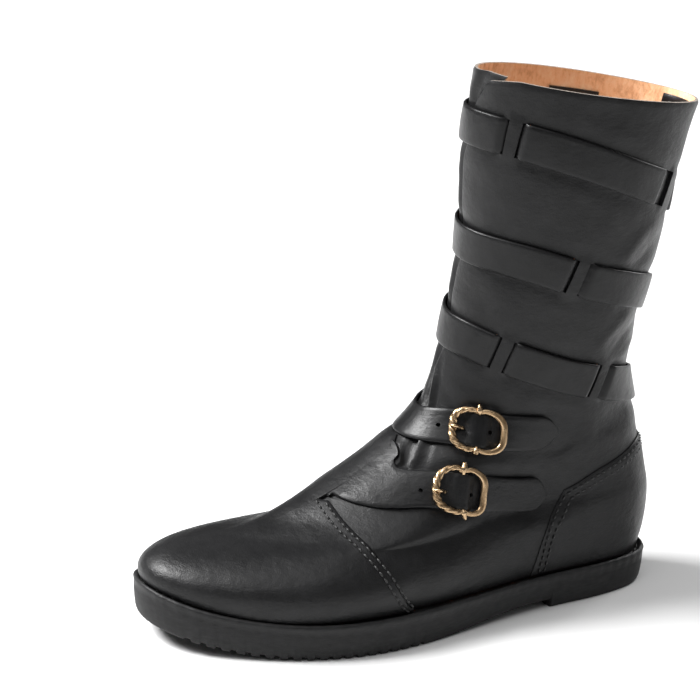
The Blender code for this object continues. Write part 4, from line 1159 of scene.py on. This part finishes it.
def build_outsole():
    shares = fine_shares()
    breast = HEEL_LENGTH / SOLE_LENGTH
    extra = np.array([breast - 0.0006, breast + 0.0006])
    treads = []
    pitch = TREAD_PITCH / SOLE_LENGTH
    for k in range(19):
        start = 0.53 + k * pitch
        treads += [start, start + 0.55 * pitch, start + 0.62 * pitch, start + 0.93 * pitch]
    treads = np.array(treads)
    keep = [s for s in shares if np.min(np.abs(s - extra)) > 0.002 and np.min(np.abs(s - treads)) > 0.0012]
    shares = np.sort(np.concatenate((keep, extra, treads)))

    def dip(share):
        phase = (share - 0.53) / pitch
        part = phase - np.floor(phase)
        inside = (share > 0.53) & (share < 0.53 + 19 * pitch)
        return np.where(inside, 0.0013 * smooth((part - 0.55) / 0.07) * (1 - smooth((part - 0.93) / 0.07)), 0.0)

    def scar(share, size):
        return size * (np.sin(share * 317) * 0.5 + np.sin(share * 743 + 1.3) * 0.3 + np.sin(share * 1291 + 0.4) * 0.2)

    def bottom(share):
        return arch_height(share) + dip(share)

    def band(part):
        return lambda share: (arch_height(share) + dip(share)) * (1 - part) + (OUTSOLE_THICK + TOE_SPRING * toe_rise(share)) * part

    loops = [sole_loops(shares, 0.0062, lambda s: bottom(s) + 0.0)]
    for inset, part in ((0.0030, 0.0), (0.0024, 0.012), (0.0019, 0.05), (0.0015, 0.11), (0.0010, 0.24), (0.0006, 0.42),
                        (0.0003, 0.60), (0.0001, 0.78), (0.0000, 0.92), (0.0000, 1.0), (0.004, 1.0)):
        full = np.concatenate(([0.0], shares, [1.0], shares[::-1]))
        rough = scar(full + part * 0.7, 0.00016) * math.sin(min(part, 0.95) * math.pi)
        loops.append(sole_loops(shares, inset + rough, band(part)))
    return loft("outsole_rubber", loops, len(shares), OUTSOLE_RUBBER, "sole_rubber", "outsole", 32)


def build_midsole():
    shares = fine_shares()
    base = OUTSOLE_THICK + GAP
    full = np.concatenate(([0.0], shares, [1.0], shares[::-1]))

    def at(extra):
        return lambda share: base + extra + TOE_SPRING * toe_rise(share)

    t = MIDSOLE_THICK
    rough = 0.00012 * (np.sin(full * 291 + 0.5) + 0.6 * np.sin(full * 811))
    loops = []
    for inset, extra, share_rough in (
            (0.004, -GAP, 0), (0.0000, -GAP, 0), (0.0001, 0.0006, 1), (0.0001, 0.0016, 1), (-0.0001, 0.0028, 1),
            (-0.0004, 0.0040, 1), (-0.0001, 0.0050, 1), (0.0005, 0.0057, 1), (0.0012, 0.00595, 0.5),
            (0.0018, 0.0057, 0), (0.0024, 0.0050, 0), (0.0032, 0.0043, 0), (0.0046, 0.0041, 0), (0.0064, 0.0044, 0)):
        loops.append(sole_loops(shares, inset + rough * share_rough, at(min(extra, t + 0.0008))))
    return loft("midsole_edge", loops, len(shares), MIDSOLE_EDGE, "sole_edge", "midsole", 40)


# Buckles


def frame_line(count):
    """Double loop of the frame: two rounded squares with a small notch between them."""
    turn = 2 * math.pi * np.arange(count) / count
    waist = 1 - 0.075 * np.exp(-(np.cos(turn) / 0.13) ** 2)
    along = np.sign(np.cos(turn)) * np.abs(np.cos(turn)) ** 0.78
    across = np.sign(np.sin(turn)) * np.abs(np.sin(turn)) ** 0.62
    return along * (BUCKLE_LENGTH - BUCKLE_WIRE) / 2, across * waist * (BUCKLE_HEIGHT - BUCKLE_WIRE) / 2, turn


def build_buckle(name, path, angle, finials, node):
    middle = path.way_at(angle)
    rim_lift = STRAP_LIFT + STRAP_THICK + GAP + BUCKLE_WIRE / 2 + 0.0006
    count = 300
    u, v, turn = frame_line(count)
    even = np.concatenate(([0.0], np.cumsum(np.hypot(np.diff(u), np.diff(v)))))
    ticks = np.linspace(0, even[-1] * (1 - 1 / count), count)
    u, v, turn = (np.interp(ticks, even, item) for item in (u, v, turn))
    centres = path.place(middle + u, v, rim_lift)
    normals = path.place(middle + u, v, rim_lift + 0.001) - centres
    sides = 16
    around = 2 * math.pi * np.arange(sides) / sides
    travel = ticks[:, None]
    front = smooth((-u / 0.0030 + 0.4))[:, None]
    twist = 0.34 * np.abs(np.sin(travel / 0.0042 * math.pi + around[None, :] * 1.5)) - 0.14
    vein = 0.16 * np.cos(around[None, :] * 3 + travel / 0.0045) * np.maximum(np.cos(around[None, :]), 0) - 0.03
    radii = BUCKLE_WIRE / 2 * (1.0 + twist * front + vein * (1 - front))
    ends = np.abs(np.cos(turn))[:, None]
    swell = 0.84 + 0.46 * ends ** 1.5 + 0.14 * (1 - front) * ends
    points, faces = tube(centres, radii * swell, sides, True, normals, 0.80)
    shapes = [(points, faces)]
    # bar under the strap
    half = (BUCKLE_HEIGHT - BUCKLE_WIRE) / 2 * 0.90
    edge = STRAP_WIDTH / 2 + GAP
    bar_lift = GAP + BAR_WIRE / 2
    spots = np.array(((-half, rim_lift), (-edge - 0.0006, bar_lift + 0.0006), (-edge * 0.6, bar_lift), (0.0, bar_lift),
                      (edge * 0.6, bar_lift), (edge + 0.0006, bar_lift + 0.0006), (half, rim_lift)))
    fine = spline(np.arange(7), spots, np.linspace(0, 6, 31))
    line = path.place(np.full(31, middle), fine[:, 0], fine[:, 1])
    ups = path.place(np.full(31, middle), fine[:, 0], fine[:, 1] + 0.001) - line
    shapes.append(tube(line, np.full(31, BAR_WIRE / 2), 12, False, ups))
    # finials at the middle of the top and bottom
    for sign, size in finials:
        base = sign * (BUCKLE_HEIGHT - BUCKLE_WIRE) / 2 * 0.93
        reach = np.array((-0.0020, -0.0006, 0.0008, 0.0020, 0.0031, 0.0042 * size, 0.0050 * size)) * 0.9
        girth = np.array((0.0008, 0.0016, 0.0019, 0.0016, 0.0013, 0.0008, 0.0002)) * (0.9 + 0.1 * size)
        spot = np.linspace(0, 6, 19)
        reach = spline(np.arange(7), reach, spot)
        girth = np.maximum(spline(np.arange(7), girth, spot), 0.00012)
        line = path.place(np.full(19, middle), base + sign * reach, rim_lift)
        ups = path.place(np.full(19, middle), base + sign * reach, rim_lift + 0.001) - line
        shapes.append(tube(line, girth, 12, False, ups))
    points, faces = joined(shapes)
    made = new_mesh(name, points, faces, [BRASS], None, 55)
    return finish_piece(made, "buckle_metal", node)


def joined(shapes):
    points = []
    faces = []
    for more, sides in shapes:
        base = len(points)
        points += [tuple(p) for p in more]
        faces += [tuple(base + v for v in f) for f in sides]
    return points, faces


def build_prong(name, path, angle, node):
    middle = path.way_at(angle)
    top = STRAP_LIFT + STRAP_THICK
    rim = top + BUCKLE_WIRE + 0.0008
    reach = BUCKLE_LENGTH / 2
    spots = np.array(((-reach + 0.0072, top - 0.0014), (-reach + 0.0064, top + 0.0008), (-reach + 0.0050, top + 0.0022),
                      (-reach + 0.0034, rim + 0.0010), (-reach + 0.0018, rim + 0.0012), (-reach + 0.0005, rim + 0.0004)))
    radii = np.array((0.0009, 0.0010, 0.0010, 0.00095, 0.00085, 0.0006))
    t = np.linspace(0, 5, 26)
    fine = spline(np.arange(6), spots, t)
    girth = spline(np.arange(6), radii, t)
    line = path.place(middle + fine[:, 0], 0.0, fine[:, 1])
    ups = path.place(middle + fine[:, 0], 0.0, fine[:, 1] + 0.001) - line
    points, faces = tube(line, girth, 12, False, ups)
    made = new_mesh(name, points, faces, [BRASS], None, 55)
    return finish_piece(made, "buckle_metal", node)


# Stitching


def stitch_shape(start, end, up, radius):
    """One stitch: a short rounded bead of thread pulled down at both ends."""
    t = np.linspace(0, 1, 6)
    line = start + (end - start) * t[:, None] + up * (radius * 0.7 * np.sin(t * math.pi))[:, None]
    girth = radius * np.array((0.35, 0.85, 1.0, 1.0, 0.85, 0.35))
    return tube(line, girth, 6, False, np.broadcast_to(up, (6, 3)))


def stitches_along(points, ups, pitch, length, radius, slant=0.0):
    """Beads along a line of places, each with its own upward direction."""
    steps = np.linalg.norm(np.diff(points, axis=0), axis=1)
    way = np.concatenate(([0.0], np.cumsum(steps)))
    shapes = []
    for middle in np.arange(pitch / 2, way[-1] - pitch / 2, pitch):
        ends = []
        for s in (middle - length / 2, middle + length / 2):
            ends.append(np.array([np.interp(s, way, points[:, k]) for k in range(3)]))
        up = np.array([np.interp(middle, way, ups[:, k]) for k in range(3)])
        up /= np.linalg.norm(up)
        side = np.cross(ends[1] - ends[0], up)
        side /= np.linalg.norm(side)
        shapes.append(stitch_shape(ends[0] - side * slant, ends[1] + side * slant, up, radius))
    return shapes


def slide(angle, level, aim):
    """Angles and levels of places on the wall, moved along it by vectors in metres."""
    _, _, round_slope, up_slope = wall_frame(angle, level)
    aa = (round_slope ** 2).sum(1)
    bb = (up_slope ** 2).sum(1)
    ab = (round_slope * up_slope).sum(1)
    ra = (round_slope * aim).sum(1)
    rb = (up_slope * aim).sum(1)
    det = aa * bb - ab * ab
    return angle + (ra * bb - rb * ab) / det, np.maximum(level + (rb * aa - ra * ab) / det, 0.0)


def beside(table, inset, even=0, count=160):
    """Angles and levels of a line beside a seam, moved off it by an inset in metres.

    The line is evened over as many samples on either side as "even" says.
    """
    table = np.array(table, float)
    t = spline(np.arange(len(table)), table, np.linspace(0, len(table) - 1, count))
    points, normal, _, _ = wall_frame(t[:, 0], t[:, 1])
    side = np.cross(np.gradient(points, axis=0), normal)
    side /= np.linalg.norm(side, axis=1, keepdims=True)
    angle, level = slide(t[:, 0], t[:, 1], side * np.reshape(inset, (-1, 1)))
    for _ in range(2 if even else 0):
        points = wall(angle, level)
        reach = np.minimum(np.minimum(np.arange(count), np.arange(count)[::-1]), even)
        evened = np.array([points[k - r:k + r + 1].mean(0) for k, r in enumerate(reach)])
        angle, level = slide(angle, level, evened - points)
    return angle, level


def offset_line(table, inset, lift, even=0, ceiling=None):
    """Places and upward directions on the wall beside a seam, up to a ceiling."""
    angle, level = beside(table, inset, even)
    if ceiling is not None:
        low = np.array(ceiling)
        kept = level < spline(low[:, 0], low[:, 1], np.clip(angle, low[0, 0], low[-1, 0])) - 0.0055
        angle, level = angle[kept], level[kept]
    folds = wall_relief(wall(angle, level)) * smooth(level / 0.03)
    points = lifted(angle, level, lift + folds)
    ups = lifted(angle, level, lift + folds + 0.001) - points
    return points, ups / np.linalg.norm(ups, axis=1, keepdims=True)


def build_stitching():
    shapes = []
    for inset in (0.0002, 0.0040):
        points, ups = offset_line(VAMP_SEAM, inset, VAMP_LIFT + 0.0001, SEAM_EVEN, ROOT_LOW)
        shapes += stitches_along(points, ups, 0.0042, 0.0030, 0.00066, 0.0001)
    points, faces = joined(shapes)
    made = new_mesh("vamp_stitches", points, faces, [THREAD], None, 60)
    finish_piece(made, "upper_leather")
    shapes = []
    for inset in (0.0022, 0.0062):
        points, ups = offset_line(COUNTER_EDGE, inset, GAP + COUNTER_THICK - 0.0003)
        shapes += stitches_along(points, ups, 0.0040, 0.0026, 0.00050, 0.0001)
    points, faces = joined(shapes)
    made = new_mesh("heel_counter_stitches", points, faces, [THREAD], None, 60)
    finish_piece(made, "upper_leather")


COUNTER_EDGE = (
    (64.0, 0.004), (64.0, 0.060), (64.2, 0.120), (65.0, 0.180), (64.2, 0.215), (59.0, 0.242), (54.0, 0.259), (46.0, 0.277),
    (34.0, 0.298), (20.0, 0.309), (6.0, 0.308), (-6.0, 0.308), (-20.0, 0.306), (-34.0, 0.295), (-46.0, 0.276),
    (-54.0, 0.259), (-59.0, 0.242), (-64.2, 0.215), (-65.0, 0.180), (-64.2, 0.120), (-64.0, 0.060), (-64.0, 0.004),
)


def build_sole_stitches():
    """Thread in the groove between upper and sole."""
    shares = fine_shares()
    loop = sole_loops(shares, 0.0036, lambda s: OUTSOLE_THICK + GAP + 0.0040 + TOE_SPRING * toe_rise(s))
    loop = np.concatenate((loop, loop[:1]))
    ups = np.broadcast_to(np.array((0.0, 0.0, 1.0)), loop.shape)
    shapes = stitches_along(loop, ups, 0.0062, 0.0048, 0.00050, 0.0001)
    points, faces = joined(shapes)
    made = new_mesh("sole_stitches", points, faces, [THREAD], None, 60)
    finish_piece(made, "sole_edge")


# Inner pieces


def inner_piece(name, angles, levels, node, slot, thread_rows):
    face = -WALL - 0.0002
    a, v = np.meshgrid(angles, levels, indexing="xy")
    edge = np.minimum(np.minimum(a - a.min(), a.max() - a) * 0.0009, np.minimum(v - v.min(), v.max() - v) * 0.31)
    drop = 0.0005 * np.clip(1 - edge / 0.0008, 0, 1) ** 2
    inner = lifted(a, v, face - 0.0014 + drop)
    outer = lifted(a, v, face + 0.0004)
    rows, columns = a.shape
    faces = grid_faces(rows, columns) + grid_faces(rows, columns, rows * columns, True)
    rim = [(0, j) for j in range(columns)] + [(i, columns - 1) for i in range(1, rows)]
    rim += [(rows - 1, j) for j in range(columns - 2, -1, -1)] + [(i, 0) for i in range(rows - 2, 0, -1)]
    base = rows * columns
    for (i, j), (k, m) in zip(rim, rim[1:] + rim[:1]):
        p = i * columns + j
        q = k * columns + m
        faces.append((p, q, base + q, base + p))
    made = new_mesh(name, np.concatenate((inner.reshape(-1, 3), outer.reshape(-1, 3))), faces, [STRAP_LEATHER], None, 40)
    finish_piece(made, slot, node)
    shapes = []
    for a0, a1, v0, v1, pitch in thread_rows:
        count = 2 + int(abs(v1 - v0) * 310 / 3)
        line_v = np.linspace(v0, v1, count)
        line_a = np.linspace(a0, a1, count)
        points = lifted(line_a, line_v, face - 0.0015)
        ups = lifted(line_a, line_v, face - 0.0025) - points
        ups /= np.linalg.norm(ups, axis=1, keepdims=True)
        shapes += stitches_along(points, ups, pitch, pitch * 0.8, 0.0007, 0.0024)
    if shapes:
        points, faces = joined(shapes)
        made = new_mesh(name + "_stitches", points, faces, [THREAD], None, 60)
        finish_piece(made, slot)


# Build


build_upper()
build_wrap()
build_vamp()
build_lower_strap()
build_counter()
build_outsole()
build_midsole()
build_buckle("buckle_upper_brass", WRAP_PATH, UPPER_BUCKLE_ANGLE, ((1, 0.9), (-1, 0.5)), "buckle_upper")
build_buckle("buckle_lower_brass", LOWER_PATH, LOWER_BUCKLE_ANGLE, ((1, 0.5), (-1, 1.2)), "buckle_lower")
build_prong("prong_upper_brass", WRAP_PATH, UPPER_BUCKLE_ANGLE, "prong_upper")
build_prong("prong_lower_brass", LOWER_PATH, LOWER_BUCKLE_ANGLE, "prong_lower")
build_stitching()
build_sole_stitches()
inner_piece("collar_patch_leather", np.linspace(272, 299, 28), np.linspace(0.915, 0.969, 18), "collar_patch", "strap_leather", ())
inner_piece("back_stay_leather", np.linspace(-21, 17, 38), np.linspace(0.60, 0.99, 90), "back_stay", "strap_leather",
            ((-15.0, -15.0, 0.61, 0.985, 0.0048), (-6.0, -6.0, 0.61, 0.985, 0.0048), (4.0, 4.0, 0.61, 0.985, 0.0048),
             (12.0, 12.0, 0.61, 0.985, 0.0048)))
insole = bpy.data.objects["insole"]
insole.data.materials.clear()
insole.data.materials.append(FLESH)


# Stage, light and camera


def stage_floor():
    mesh = bpy.data.meshes.new("floor")
    size = 9.0
    mesh.from_pydata([(-size, -size, 0), (size, -size, 0), (size, size, 0), (-size, size, 0)], [], [(0, 1, 2, 3)])
    floor = bpy.data.objects.new("floor", mesh)
    bpy.context.scene.collection.objects.link(floor)
    s = Shader("pale_floor")
    s.set(colour=(0.74, 0.74, 0.74), rough=0.55, specular=0.3)
    mesh.materials.append(s.material)


def area_light(name, place, aim, size, power, colour=(1.0, 1.0, 1.0)):
    data = bpy.data.lights.new(name, "AREA")
    data.shape = "RECTANGLE"
    data.size, data.size_y = size
    data.energy = power
    data.color = colour
    made = bpy.data.objects.new(name, data)
    made.location = place
    made.rotation_euler = (Vector(aim) - Vector(place)).to_track_quat("-Z", "Y").to_euler()
    bpy.context.scene.collection.objects.link(made)


def sun_light(name, towards, strength, spread):
    data = bpy.data.lights.new(name, "SUN")
    data.energy = strength
    data.angle = math.radians(spread)
    made = bpy.data.objects.new(name, data)
    made.rotation_euler = Vector(towards).to_track_quat("Z", "Y").to_euler()
    bpy.context.scene.collection.objects.link(made)


def camera():
    data = bpy.data.cameras.new("camera")
    data.sensor_width = 36.0
    data.lens = 149.5
    data.clip_end = 50.0
    made = bpy.data.objects.new("camera", data)
    right = Vector((0.4507, 0.8916, 0.0432)).normalized()
    up = Vector((-0.3008, 0.1062, 0.9478))
    up = (up - right * up.dot(right)).normalized()
    back = right.cross(up)
    turn = Matrix((right, up, back)).transposed().to_4x4()
    made.matrix_world = Matrix.Translation((1.2875, -0.8243, 0.6345)) @ turn
    bpy.context.scene.collection.objects.link(made)
    bpy.context.scene.camera = made


stage_floor()
area_light("key", (-0.9, -2.0, 2.3), (0.0, -0.10, 0.12), (1.5, 1.1), 230)
area_light("side", (2.4, 0.9, 1.2), (0.0, -0.02, 0.15), (0.9, 1.8), 3)
area_light("rim", (-0.6, 2.2, 1.2), (0.0, 0.0, 0.15), (1.0, 1.6), 30)
sun_light("top", (0.25, -0.30, 1.0), 1.35, 60.0)
world = bpy.data.worlds.new("studio")
world.use_nodes = True
world.node_tree.nodes["Background"].inputs["Color"].default_value = (1.0, 1.0, 1.0, 1.0)
world.node_tree.nodes["Background"].inputs["Strength"].default_value = 0.11
bpy.context.scene.world = world
bpy.context.scene.view_settings.view_transform = "Standard"
camera()
